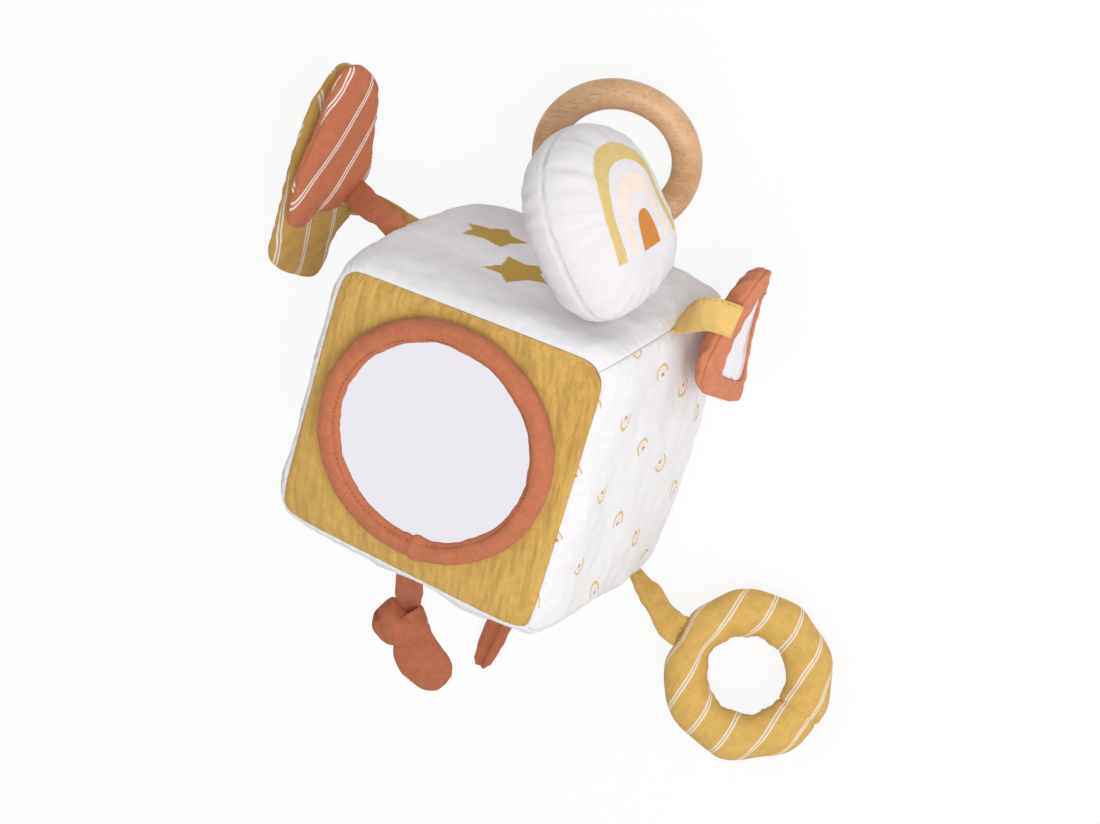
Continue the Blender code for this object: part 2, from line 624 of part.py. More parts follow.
def build_leaf(name, parent, root, length, outline_shares, strap_share, reach, sag, finish):
    """One leaf: front and back cloth, the crackling film under the front, a thin wadding and the strap."""
    across, up, out = square_axes(LEAF_UP_DIRECTION, LEAF_OUT_DIRECTION)
    place = root + Vector(reach)
    frame = frame_of(place, across, up, out)
    outline = even_loop(smooth_loop(np.array(outline_shares) * length, 6), 28)
    for side, word in ((1, "front"), (-1, "back")):
        rows = cloth_half(outline, LEAF_HALF_THICKNESS, side, 3, LEAF_SWELL_POWER)
        add_piece(f"{name}_{word}_cloth", grid_mesh("cloth", rows, False), parent, frame, finish)
    inset = CLOTH + GAP
    film = lining_sheet(outline, LEAF_HALF_THICKNESS, inset, FILM, 1, 3, LEAF_SWELL_POWER, FILM_REACH_SHARE)
    add_piece(f"{name}_film", grid_mesh("film", film, False), parent, frame, CRACKLING_FILM)
    small = outline * WADDING_REACH_SHARE
    top = dome_rows(small, LEAF_HALF_THICKNESS - FILM - GAP, inset, 1, 3, swell_power=LEAF_SWELL_POWER)
    under = dome_rows(small, LEAF_HALF_THICKNESS, inset, -1, 3, swell_power=LEAF_SWELL_POWER)[::-1]
    rows = np.concatenate([top, under])
    add_piece(f"{name}_wadding", grid_mesh("wadding", rows, False), parent, frame, WADDING)
    rim, along, outward = leaf_rim(outline, strap_share, length)
    edge = across * along[0] + up * along[1]
    edge *= math.copysign(1.0, edge.z)
    away = across * outward[0] + up * outward[1]
    end = place + across * rim[0] + up * rim[1] + away * (GAP + MERGE_DISTANCE)
    below = end + away * LEAF_STRAP_TURN
    middle = (root + below) / 2 - UPRIGHT * sag
    between = (UPRIGHT + edge) / 2
    lead = lead_from(root, root - BLOCK_CENTRE, UPRIGHT)
    line = [root, lead, lead_from(lead, middle - lead, UPRIGHT), middle, below, end]
    sides = [UPRIGHT, UPRIGHT, UPRIGHT, between, edge, edge]
    mesh = strap_mesh(f"{name}_strap", line, sides, [STRAP_WIDTH] * 2, STRAP_THICKNESS)
    add_piece(f"{name}_strap", mesh, parent, Matrix.Identity(4), finish)


# The framed pad


def build_framed_pad(parent, root):
    """The small pad: a border round a window, the film behind it, the back, the filling and the ribbon."""
    across, up, out = square_axes(FRAME_UP_DIRECTION, FRAME_OUT_DIRECTION)
    place = root + Vector(FRAME_REACH)
    frame = frame_of(place, across, up, out)
    outline = oval_outline(FRAME_HALF_LENGTH, FRAME_HALF_WIDTH, FRAME_OUTLINE_POWER, FRAME_OUTLINE_POWER, 32)
    height, power = FRAME_HALF_THICKNESS, FRAME_SWELL_POWER
    border = np.concatenate([
        dome_rows(outline, height, 0.0, 1, 3, FRAME_WINDOW_SHARE, power),
        dome_rows(outline, height, CLOTH, 1, 3, FRAME_WINDOW_SHARE, power)[::-1],
    ])
    add_piece("framed_pad_border", grid_mesh("border", border, True), parent, frame, CLAY_CLOTH)
    back = cloth_half(outline, height, -1, 4, power)
    add_piece("framed_pad_back_cloth", grid_mesh("cloth", back, False), parent, frame, CLAY_CLOTH)
    reach = FRAME_WINDOW_SHARE + FRAME_WINDOW_COVER_SHARE
    drawn_in = 1 - CLOTH / np.linalg.norm(outline, axis=1).min()
    seat = GAP / 2 + (height - CLOTH - GAP / 2) * math.sqrt(1 - (reach / drawn_in) ** power)
    film_top = seat - GAP * 2
    rings = [(0.0, film_top), (reach, film_top), (reach, film_top - FILM), (0.0, film_top - FILM)]
    rows = np.array([[(*(point * share), tall) for point in outline] for share, tall in rings])
    add_piece("framed_pad_window", grid_mesh("window", rows, False), parent, frame, WINDOW_FILM)
    inset = CLOTH + GAP
    top = dome_rows(outline, film_top - FILM - GAP + inset, inset, 1, 4, swell_power=power)
    under = dome_rows(outline, height, inset, -1, 4, swell_power=power)[::-1]
    rows = np.concatenate([top, under])
    add_piece("framed_pad_filling", grid_mesh("filling", rows, False), parent, frame, WADDING)
    end = place - across * (FRAME_HALF_WIDTH + GAP) + up * RIBBON_SIDESTEP
    over = end - across * RIBBON_RISE
    level = (end - root).cross(UPRIGHT).normalized()
    arch = (root + over) / 2 + UPRIGHT * RIBBON_RISE
    line = [root, lead_from(root, FRAME_ROOT_DIRECTION, UPRIGHT), arch, over, end]
    sides = [UPRIGHT, UPRIGHT, (UPRIGHT + level) / 2, (level - up) / 2, -up]
    widths = [RIBBON_ROOT_WIDTH, RIBBON_ROOT_WIDTH, RIBBON_WIDTH, RIBBON_WIDTH, RIBBON_WIDTH]
    mesh = strap_mesh("framed_pad_ribbon", line, sides, widths, RIBBON_THICKNESS)
    add_piece("framed_pad_ribbon", mesh, parent, Matrix.Identity(4), OCHRE_CLOTH)


# The rings


def leaning_centre(place, out, mean_radius, tube_radius):
    """Where a ring that leans with its axis along out touches the floor with its lowest point."""
    lean = math.sqrt(1 - out.z**2)
    return Vector((*place, mean_radius * lean + tube_radius))


def build_wood_ring(loop_pivot, ring_pivot, centre, axes, root):
    """The beech ring and the cloth loop round its near side."""
    across, up, out = axes
    radius, tube = (WOOD_OUTER_DIAMETER - WOOD_SECTION) / 2, WOOD_SECTION / 2
    section = arc_section(tube, 0, 360, 13)[:-1]
    rows = ring_rows(section, radius, 36)
    add_piece("wooden_ring", grid_mesh("wooden_ring", rows, True), ring_pivot, frame_of(centre, *axes), BEECH)
    # The loop lies in the plane of the ring's axis and the direction towards the block.
    toward = -up
    bow = (WOOD_LOOP_WIDTH / 2) ** 2 / (2 * radius)
    inner = tube + WOOD_LOOP_SLACK + bow / 2
    around = inner + WOOD_LOOP_THICKNESS / 2
    middle = centre + toward * (radius - bow / 2)
    turns = np.radians(np.arange(60, 351, 20))
    ring = [middle + toward * around * math.cos(turn) - out * around * math.sin(turn) for turn in turns]
    neck = middle + toward * (around + WOOD_LOOP_LAP)
    level = (root - neck).dot(-out) + WOOD_LOOP_THICKNESS
    first = neck - out * level
    last = middle + toward * around - out * (level - WOOD_LOOP_THICKNESS / 2 - GAP * 2)
    lead = root.lerp(lead_from(root, LOOP_DIRECTION, RIGHTWARD), 0.5)
    points = [root, lead, first, *ring, last]
    sides = [RIGHTWARD, RIGHTWARD, *[across] * (len(points) - 2)]
    mesh = strap_mesh("wood_loop", points, sides, [WOOD_LOOP_WIDTH] * 2, WOOD_LOOP_THICKNESS, 2)
    add_piece("wood_loop", mesh, loop_pivot, Matrix.Identity(4), WHITE_MUSLIN)


def puckered(rows):
    """A stuffed ring's grid with its tube drawn in at the puckers."""
    turn = np.arctan2(rows[..., 1], rows[..., 0])
    swell = 1 + SOFT_RING_PUCKER_SHARE * np.cos(SOFT_RING_PUCKERS * turn)
    mean = np.stack([np.cos(turn), np.sin(turn), np.zeros_like(turn)], axis=-1) * SOFT_RING_MEAN_RADIUS
    return mean + (rows - mean) * swell[..., None]


def build_soft_ring(parent, root):
    """The stuffed ring: two halves of cloth round a filling, and the strap to the block's corner."""
    out = Vector(SOFT_RING_OUT_DIRECTION).normalized()
    fullest = SOFT_RING_TUBE_RADIUS * (1 + SOFT_RING_PUCKER_SHARE)
    place = root.xy + Vector(SOFT_RING_REACH)
    centre = leaning_centre(place, out, SOFT_RING_MEAN_RADIUS, fullest + GAP)
    toward = Matrix.Rotation(math.radians(SOFT_STRAP_TURN_DEGREES), 3, out) @ (root - centre)
    axes = square_axes(toward, out)
    frame = frame_of(centre, *axes)
    split = math.degrees(math.asin(GAP / 2 / SOFT_RING_TUBE_RADIUS))
    for word, low in (("upper", split), ("lower", 180 + split)):
        high = low + 180 - 2 * split
        section = np.vstack([
            arc_section(SOFT_RING_TUBE_RADIUS, low, high, 8),
            arc_section(SOFT_RING_TUBE_RADIUS - CLOTH, high, low, 6),
        ])
        rows = puckered(ring_rows(section, SOFT_RING_MEAN_RADIUS, 45))
        add_piece(f"soft_ring_{word}_cloth", grid_mesh("cloth", rows, True), parent, frame, OCHRE_CLOTH)
    section = arc_section(SOFT_RING_TUBE_RADIUS - CLOTH - GAP, 0, 360, 11)[:-1]
    rows = puckered(ring_rows(section, SOFT_RING_MEAN_RADIUS, 45))
    add_piece("soft_ring_filling", grid_mesh("filling", rows, True), parent, frame, WADDING)
    across, up, out = axes
    end = centre + up * (SOFT_RING_MEAN_RADIUS + fullest + GAP)
    approach = end + up * STRAP_LEAD
    middle = (root + approach) / 2 - UPRIGHT * SOFT_STRAP_SAG
    side = across * math.copysign(1.0, across.z)
    sides = [UPRIGHT, UPRIGHT, (UPRIGHT + side) / 2, side, side]
    widths = [SOFT_STRAP_ROOT_WIDTH, SOFT_STRAP_ROOT_WIDTH, SOFT_STRAP_END_WIDTH, SOFT_STRAP_END_WIDTH]
    line = [root, lead_from(root, SOFT_RING_ROOT_DIRECTION, UPRIGHT), middle, approach, end]
    mesh = strap_mesh("soft_ring_strap", line, sides, widths, SOFT_STRAP_THICKNESS)
    add_piece("soft_ring_strap", mesh, parent, Matrix.Identity(4), OCHRE_CLOTH)


# The tail and the tag


def build_tail(parent, root):
    """One tape with a knot in it and a spoon-shaped end."""
    knot, paddle = root + Vector(TAIL_KNOT_REACH), root + Vector(TAIL_PADDLE_REACH)
    lead = (lead_from(root, knot - root, RIGHTWARD) - root).normalized()
    drop = (paddle - knot).normalized()
    stations = [
        (root - lead * TAIL_THICKNESS / 2, TAIL_WIDTH, TAIL_THICKNESS / 3),
        (root, TAIL_WIDTH, TAIL_THICKNESS),
        (lead_from(root, knot - root, RIGHTWARD), TAIL_WIDTH, TAIL_THICKNESS),
        ((root + knot) / 2, TAIL_WIDTH, TAIL_THICKNESS),
        (knot - lead * KNOT_HALF_LENGTH, TAIL_WIDTH, TAIL_THICKNESS),
        (knot - lead * KNOT_HALF_LENGTH / 2, KNOT_WIDTH * 0.9, KNOT_THICKNESS * 0.9),
        (knot, KNOT_WIDTH, KNOT_THICKNESS),
        (knot + drop * KNOT_HALF_LENGTH / 2, KNOT_WIDTH * 0.9, KNOT_THICKNESS * 0.9),
        (knot + drop * KNOT_HALF_LENGTH, NECK_WIDTH, NECK_THICKNESS),
        (paddle - drop * PADDLE_HALF_LENGTH / 2, PADDLE_WIDTH * 0.75, PADDLE_THICKNESS * 0.9),
        (paddle, PADDLE_WIDTH, PADDLE_THICKNESS),
        (paddle + drop * PADDLE_HALF_LENGTH * 0.6, PADDLE_WIDTH * 0.9, PADDLE_THICKNESS * 0.9),
        (paddle + drop * PADDLE_HALF_LENGTH * 0.9, PADDLE_WIDTH * 0.55, PADDLE_THICKNESS * 0.6),
        (paddle + drop * PADDLE_HALF_LENGTH, PADDLE_WIDTH * 0.2, PADDLE_THICKNESS * 0.2),
    ]
    places, widths, thicknesses = zip(*stations)
    line = smooth_line([tuple(place) for place in places], 3)
    count = len(line)
    # The tape turns over inside the knot.
    half = len(stations) // 2
    sides = [RIGHTWARD] * half + [Vector(PADDLE_SIDE_DIRECTION)] * (len(stations) - half)
    mesh = ribbon_mesh(
        "knotted_tail", line, spread(widths, count), spread(sides, count), spread(thicknesses, count), 16, 0.85
    )
    add_piece("knotted_tail", mesh, parent, Matrix.Identity(4), CLAY_CLOTH)


def build_tag(parent, root):
    """The folded tag, which lies on the floor."""
    level = TAG_THICKNESS / 2 + GAP
    end = Vector((*(root.xy + Vector(TAG_END_REACH)), level))
    lead = lead_from(root, end - root, RIGHTWARD)
    stations = [
        (root + (root - lead).normalized() * STRAP_THICKNESS / 2, TAG_WIDTH, STRAP_THICKNESS / 3),
        (root, TAG_WIDTH, STRAP_THICKNESS),
        (lead, TAG_WIDTH, STRAP_THICKNESS),
        (root.lerp(end, 0.35), TAG_WIDTH, TAG_THICKNESS),
        (root.lerp(end, 0.7), TAG_WIDTH, TAG_THICKNESS),
        (root.lerp(end, 0.96), TAG_WIDTH, TAG_THICKNESS),
        (end, TAG_WIDTH * 0.8, TAG_THICKNESS * 0.7),
    ]
    places, widths, thicknesses = zip(*stations)
    places = [Vector((place.x, place.y, max(place.z, level))) if i > 2 else place for i, place in enumerate(places)]
    line = smooth_line([tuple(place) for place in places], 3)
    count = len(line)
    right = [RIGHTWARD] * 2
    mesh = ribbon_mesh("tail_tag", line, spread(widths, count), spread(right, count), spread(thicknesses, count), 12)
    add_piece("tail_tag", mesh, parent, Matrix.Identity(4), CLAY_CLOTH)


def main():
    """Builds the block and every piece that hangs on it."""
    clear_scene()
    block = pivot("block_pivot", BLOCK_CENTRE)
    build_block(block)
    build_mirror(block)
    stand_off = STRAP_THICKNESS / 2 + ROOT_CLEARANCE
    root = edge_root(PAD_ROOT_DIRECTION, stand_off)
    build_rainbow_pad(pivot("rainbow_pad_pivot", root), root)
    root = edge_root(CLAY_ROOT_DIRECTION, stand_off)
    build_leaf(
        "clay_leaf", pivot("clay_leaf_pivot", root), root, CLAY_LEAF_LENGTH, CLAY_OUTLINE_SHARES,
        CLAY_STRAP_SHARE, CLAY_LEAF_REACH, CLAY_STRAP_SAG, CLAY_CLOTH,
    )
    root = edge_root(OCHRE_ROOT_DIRECTION, stand_off)
    build_leaf(
        "ochre_leaf", pivot("ochre_leaf_pivot", root), root, OCHRE_LEAF_LENGTH, OCHRE_OUTLINE_SHARES,
        OCHRE_STRAP_SHARE, OCHRE_LEAF_REACH, OCHRE_STRAP_SAG, OCHRE_CLOTH,
    )
    root = edge_root(FRAME_ROOT_DIRECTION, RIBBON_THICKNESS / 2 + ROOT_CLEARANCE)
    build_framed_pad(pivot("framed_pad_pivot", root), root)
    root = edge_root(WOOD_ROOT_DIRECTION, WOOD_LOOP_THICKNESS / 2 + ROOT_CLEARANCE)
    radius = (WOOD_OUTER_DIAMETER - WOOD_SECTION) / 2
    out = Vector(WOOD_OUT_DIRECTION).normalized()
    place = (root.x + WOOD_SIDESTEP, root.y + WOOD_LOOP_REACH + radius)
    centre = leaning_centre(place, out, radius, WOOD_SECTION / 2 + GAP)
    axes = square_axes((0.0, 1.0, 0.0), out)
    build_wood_ring(pivot("wood_loop_pivot", root), pivot("wooden_ring_pivot", centre), centre, axes, root)
    root = edge_root(SOFT_RING_ROOT_DIRECTION, SOFT_STRAP_THICKNESS / 2 + ROOT_CLEARANCE)
    build_soft_ring(pivot("soft_ring_pivot", root), root)
    root = edge_root(TAIL_ROOT_DIRECTION, TAIL_THICKNESS / 2 + ROOT_CLEARANCE)
    build_tail(pivot("knotted_tail_pivot", root), root)
    root = edge_root(TAG_ROOT_DIRECTION, STRAP_THICKNESS / 2 + ROOT_CLEARANCE)
    build_tag(pivot("tail_tag_pivot", root), root)


main()
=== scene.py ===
"""Soft fabric activity block for a baby, dressed in its cloths, threads, beech and mirror film.

Everything is in metres in the block's own frame: X to its right side, Y to its top side and Z out of the
mirror, with the origin in the middle of the back, on which the block rests.
"""

from __future__ import annotations

import logging
import math
from collections.abc import Iterator, Sequence
from dataclasses import dataclass, replace
from enum import Enum

import bmesh
import bpy
import numpy as np
from mathutils import Matrix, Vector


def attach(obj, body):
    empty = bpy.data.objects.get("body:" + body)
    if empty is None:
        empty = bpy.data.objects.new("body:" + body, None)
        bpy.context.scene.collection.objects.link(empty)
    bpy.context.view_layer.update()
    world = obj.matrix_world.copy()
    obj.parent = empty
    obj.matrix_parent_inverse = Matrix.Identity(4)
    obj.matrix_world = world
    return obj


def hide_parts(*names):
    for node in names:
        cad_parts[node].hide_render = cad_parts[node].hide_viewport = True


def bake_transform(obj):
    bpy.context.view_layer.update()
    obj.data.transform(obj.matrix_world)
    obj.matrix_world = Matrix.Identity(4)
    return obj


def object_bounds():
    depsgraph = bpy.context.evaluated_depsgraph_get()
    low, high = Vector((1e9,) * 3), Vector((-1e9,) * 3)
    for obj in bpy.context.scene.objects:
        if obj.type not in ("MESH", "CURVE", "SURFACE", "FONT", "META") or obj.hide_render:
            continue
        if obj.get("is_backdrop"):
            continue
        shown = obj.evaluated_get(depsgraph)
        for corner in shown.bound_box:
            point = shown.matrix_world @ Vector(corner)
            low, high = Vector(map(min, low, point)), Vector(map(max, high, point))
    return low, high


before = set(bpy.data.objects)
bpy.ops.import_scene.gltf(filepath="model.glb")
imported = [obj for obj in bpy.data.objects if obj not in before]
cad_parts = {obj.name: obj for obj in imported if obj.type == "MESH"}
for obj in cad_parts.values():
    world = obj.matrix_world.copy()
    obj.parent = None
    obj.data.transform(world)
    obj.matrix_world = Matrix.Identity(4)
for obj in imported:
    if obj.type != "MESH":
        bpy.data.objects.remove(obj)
CAD_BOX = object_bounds()

log = logging.getLogger("fabric block")

Array = np.ndarray
Place = tuple[float, float, float]
Colour = tuple[float, float, float]
Socket = bpy.types.NodeSocket
TURN = 2 * math.pi
CLOTH_MAP = "cloth"
SINES = 14
WAVE_SPREAD = (0.7, 1.5)
MERGE_DISTANCE = 1e-6


# Shapes worked out as arrays


def unit(vectors: Array) -> Array:
    """Vectors over their own lengths."""
    return vectors / np.maximum(np.linalg.norm(vectors, axis=-1, keepdims=True), 1e-12)


def cubic(four: Sequence[Array], share: Array) -> Array:
    """The stretch between the middle two of four points, with slopes from their neighbours.

    It is the Catmull-Rom cubic: start + t/2 (slope + t (...)), for t from 0 to 1.

    Args:
        four: The point before, the start, the end and the point after.
        share: A column of t values.

    Returns:
        One row for each value of t.
    """
    before, start, end, after = four
    bend = 2 * before - 5 * start + 4 * end - after
    return start + share / 2 * (end - before + share * (bend + share * (3 * start - before - 3 * end + after)))


def rounded_line(points: Sequence[Place], steps: int) -> Array:
    """A rounded line through points, as Catmull-Rom stretches.

    Args:
        points: The points that the line passes.
        steps: How many rows each stretch gets.

    Returns:
        The line's points.
    """
    points = np.asarray(points, float)
    ends = np.vstack([2 * points[0] - points[1], points, 2 * points[-1] - points[-2]])
    share = np.linspace(0.0, 1.0, steps, endpoint=False)[:, None]
    return np.vstack([*(cubic(ends[i : i + 4], share) for i in range(len(points) - 1)), points[-1:]])


def rounded_loop(points: Array, steps: int) -> Array:
    """A rounded closed line through points, without its first point again at the end."""
    share = np.linspace(0.0, 1.0, steps, endpoint=False)[:, None]
    return np.vstack([cubic(np.roll(points, 1 - i, axis=0)[:4], share) for i in range(len(points))])


def wrapped(values: Array, axis: int = 0) -> Array:
    """An array with its first entry again at the end of an axis."""
    return np.concatenate([values, values.take([0], axis)], axis)


def around(count: int) -> Array:
    """Angles at even steps once round, without the first one again at the end."""
    return np.linspace(0.0, TURN, count, endpoint=False)


def grid(*parts: Array | float) -> Array:
    """Coordinates that together span a grid, stacked in its last axis."""
    return np.stack(np.broadcast_arrays(*parts), axis=-1)


def signed_power(values: Array, power: float | Array) -> Array:
    """Values raised to a power, with their signs kept."""
    return np.sign(values) * abs(values) ** power


def run_along(line: Array) -> Array:
    """The length run along a line at each of its points."""
    return np.concatenate([[0.0], np.cumsum(np.linalg.norm(np.diff(line, axis=0), axis=1))])


def read_at(at: Array, run: Array, rows: Array) -> Array:
    """Rows that are given at lengths run, read at other lengths."""
    return np.stack([np.interp(at, run, column) for column in rows.T], axis=1)


def even_loop(points: Array, count: int) -> Array:
    """A closed line read at equal steps of its length."""
    closed = wrapped(points)
    run = run_along(closed)
    return read_at(np.linspace(0.0, run[-1], count, endpoint=False), run, closed)


def even_outline(points: Array, count: int) -> Array:
    """The rounded closed line through points, read at equal steps."""
    return even_loop(rounded_loop(points, 12), count)


def spread(values: Sequence[float] | Array, count: int) -> Array:
    """Values given at even steps, read with rounded steps between them at count places."""
    values = np.asarray(values, float)
    at = np.linspace(0.0, len(values) - 1.0, count)
    low = np.minimum(at.astype(int), len(values) - 2)
    share = at - low
    share = share * share * (3 - 2 * share)
    share = share if values.ndim == 1 else share[:, None]
    return values[low] * (1 - share) + values[low + 1] * share


def ripple(points: Array, length: float | Place, seed: int) -> Array:
    """Smooth uneven waves of about -1 to 1: a sum of sines along random directions.

    Args:
        points: Places in metres, in the last axis.
        length: The usual length of a wave in metres, or one length for each axis.
        seed: Picks the directions, lengths and phases.

    Returns:
        One height for each place.
    """
    random = np.random.default_rng(seed)
    stretch = points.shape[-1]
    ways = unit(random.normal(size=(SINES, stretch))) * TURN / random.uniform(*WAVE_SPREAD, (SINES, 1))
    ways = ways / np.broadcast_to(np.asarray(length, float), (stretch,))
    return np.sin(points @ ways.T + random.uniform(0.0, TURN, SINES)).sum(axis=-1) / math.sqrt(SINES)


def fold(points: Array, length: float | Place, seed: int) -> Array:
    """Sharp creases of 0 to -1 in the same waves: the wave's size, turned so that its zeros are the ridges."""
    return -np.minimum(abs(ripple(points, length, seed)), 1.0)


def near(distance: Array, reach: float) -> Array:
    """1 at a seam or line, falling to 0 over about the reach: exp(-(distance / reach)^2)."""
    return np.exp(-((distance / reach) ** 2))


def slopes(points: Array, axis: int, closed: bool) -> Array:
    """Differences along one axis of a grid, round its end where it is closed."""
    if closed:
        return (np.roll(points, -1, axis) - np.roll(points, 1, axis)) / 2
    return np.gradient(points, axis=axis)


def outward(points: Array, closed_rows: bool = False, closed_columns: bool = True) -> Array:
    """Unit normals of a closed grid that point out of it.

    The normal is the cross product of the grid's two slopes. Its sign is that of the enclosed volume, and a
    pole takes the mean of the next row.
    """
    cross = np.cross(slopes(points, 0, closed_rows), slopes(points, 1, closed_columns))
    volume = np.sum(cross * (points - points.mean(axis=(0, 1))))
    normals = unit(cross) * math.copysign(1.0, volume)
    for row, beside in ((0, 1), (-1, -2)):
        if not closed_rows and np.ptp(points[row], axis=0).max() < 1e-9:
            normals[row] = unit(normals[beside].mean(axis=0))
    return normals


@dataclass(frozen=True)
class Axes:
    """A piece's own square axes in the block's frame."""

    origin: Place
    up: Place
    out: Place

    @property
    def turn(self) -> Array:
        """Rows: across, up and out. Up is turned square to out."""
        out = unit(np.array(self.out))
        up = np.array(self.up) - out * (np.array(self.up) @ out)
        up = unit(up)
        return np.stack([np.cross(up, out), up, out])

    def place(self, points: Array) -> Array:
        """Own coordinates put into the block's frame."""
        return points @ self.turn + np.array(self.origin)


@dataclass(frozen=True)
class Patch:
    """A grid of points with its cloth map and the number of its finish."""

    points: Array
    cloth: Array
    finish: int = 0


def closed_patch(points: Array, cloth: Array | None = None, finish: int = 0) -> Patch:
    """A patch whose last column meets its first one.

    Args:
        points: The grid without the repeated column.
        cloth: The cloth map with the repeated column, or none to take the points' first two coordinates.
        finish: The number of its finish.

    Returns:
        The patch, with its first column repeated at the end.
    """
    points = wrapped(points, 1)
    return Patch(points, points[..., :2] if cloth is None else cloth, finish)


def build(name: str, patches: Sequence[Patch], finishes: Sequence[bpy.types.Material]) -> bpy.types.Object:
    """One closed piece from patches whose borders meet.

    Each patch is a grid of quads. Doubled points are merged, which closes seams and poles, and the faces are
    turned outwards.

    Args:
        name: The piece's name.
        patches: Its grids.
        finishes: Its materials, in the order of the patches' numbers.

    Returns:
        The piece, linked to the scene at the origin.
    """
    places, maps, faces, slots = [], [], [], []
    start = 0
    for patch in patches:
        rows, columns = patch.points.shape[:2]
        corner = start + (np.arange(rows - 1)[:, None] * columns + np.arange(columns - 1)).reshape(-1)
        faces.append(np.stack([corner, corner + 1, corner + columns + 1, corner + columns], axis=1))
        slots.append(np.full(len(corner), patch.finish))
        places.append(patch.points.reshape(-1, 3))
        maps.append(np.broadcast_to(patch.cloth, (rows, columns, 2)).reshape(-1, 2))
        start += rows * columns
    faces = np.concatenate(faces)
    mesh = bpy.data.meshes.new(name)
    mesh.from_pydata(np.concatenate(places).tolist(), [], faces.tolist())
    layer = mesh.uv_layers.new(name=CLOTH_MAP)
    layer.data.foreach_set("uv", np.concatenate(maps)[faces.reshape(-1)].astype(np.float32).reshape(-1))
    mesh.polygons.foreach_set("material_index", np.concatenate(slots).astype(np.int32))
    shape = bmesh.new()
    shape.from_mesh(mesh)
    bmesh.ops.remove_doubles(shape, verts=shape.verts, dist=MERGE_DISTANCE)
    bmesh.ops.recalc_face_normals(shape, faces=shape.faces)
    shape.to_mesh(mesh)
    shape.free()
    mesh.shade_smooth()
    for finish in finishes:
        mesh.materials.append(finish)
    piece = bpy.data.objects.new(name, mesh)
    bpy.context.scene.collection.objects.link(piece)
    return piece


def seat(piece: bpy.types.Object, body: str, *nodes: str) -> bpy.types.Object:
    """The piece rides on a body and stands for the nodes that it covers or renews."""
    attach(piece, body)
    if nodes:
        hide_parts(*nodes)
    log.info("%s: %d faces, on %s", piece.name, len(piece.data.polygons), body)
    return piece


def stuff(piece: bpy.types.Object, body: str, fill: float, *nodes: str) -> None:
    """The piece rides on a body and hides the nodes that it covers."""
    seat(piece, body, *nodes)


def join(piece: bpy.types.Object, body: str, start: Array, end: Array, *nodes: str) -> None:
    """The piece's place is baked into its mesh, and the nodes that it renews are hidden."""
    tuple(start)
    tuple(end)
    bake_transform(piece)
    if nodes:
        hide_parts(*nodes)
    log.info("%s: %d faces, bends to %s", piece.name, len(piece.data.polygons), body)


def hang(piece: bpy.types.Object, body: str, inside: Array, root: Array, *nodes: str) -> None:
    """The piece goes to join with a place inside the block and a point beyond its root twice as far as that place lies
    behind it.
    """
    join(piece, body, inside, root + (root - inside) * 2, *nodes)


def tape_points(line: Array, sides: Array, widths: Array, thicknesses: Array, corners: int, square: float) -> Array:
    """A flat tape's grid: a rounded oblong carried along a line.

    The section is (|cos|^square, |sin|^square) with their signs, half a width by half a thickness.
    """
    along = unit(np.gradient(line, axis=0))
    sides = unit(sides - along * np.sum(sides * along, axis=1)[:, None])
    flat = np.cross(along, sides)
    turn = around(corners)
    wide, thick = signed_power(np.cos(turn), square) / 2, signed_power(np.sin(turn), square) / 2
    return (
        line[:, None]
        + sides[:, None] * (widths[:, None] * wide)[..., None]
        + flat[:, None] * (thicknesses[:, None] * thick)[..., None]
    )


def capped(rows: Array) -> Array:
    """A tube's grid with a point at the middle of each end, so that its ends close."""
    ends = [np.broadcast_to(rows[i].mean(axis=0), rows[i].shape)[None] for i in (0, -1)]
    return np.concatenate([ends[0], rows, ends[1]])


def tape_map(line: Array, widths: Array, corners: int) -> Array:
    """The cloth map of a capped tape: across the tape by along it, in metres."""
    run = np.pad(run_along(line), 1, mode="edge")
    width = np.pad(widths, 1, mode="edge")
    return grid(np.cos(np.linspace(0.0, TURN, corners + 1)) * width[:, None] / 2, run[:, None])


@dataclass(frozen=True)
class Tape:
    """A strap of folded cloth along a rounded line."""

    points: tuple[Place, ...]
    sides: tuple[Place, ...]
    widths: tuple[float, ...]
    thickness: float
    crease: float = 0.0004
    steps: int = 14
    corners: int = 40
    square: float = 0.55

    def patch(self, seed: int) -> Patch:
        """The tape with a shallow groove along its middle and soft creases across it."""
        line = rounded_line(self.points, self.steps)
        count = len(line)
        widths, sides = spread(self.widths, count), spread(self.sides, count)
        ends = np.minimum(np.arange(count), np.arange(count)[::-1])
        thick = self.thickness * np.clip(0.55 + 0.15 * ends, 0.0, 1.0)
        rows = tape_points(line, sides, widths, thick, self.corners, self.square)
        normals = outward(rows)
        groove = near(np.cos(around(self.corners)) * widths[:, None] / 2, 0.0012) * self.crease
        waves = ripple(rows, 0.014, seed) * 0.5 + ripple(rows, 0.006, seed + 1) * 0.15
        moved = rows + normals * (waves * self.crease - groove)[..., None]
        return closed_patch(capped(moved), tape_map(line, widths, self.corners))


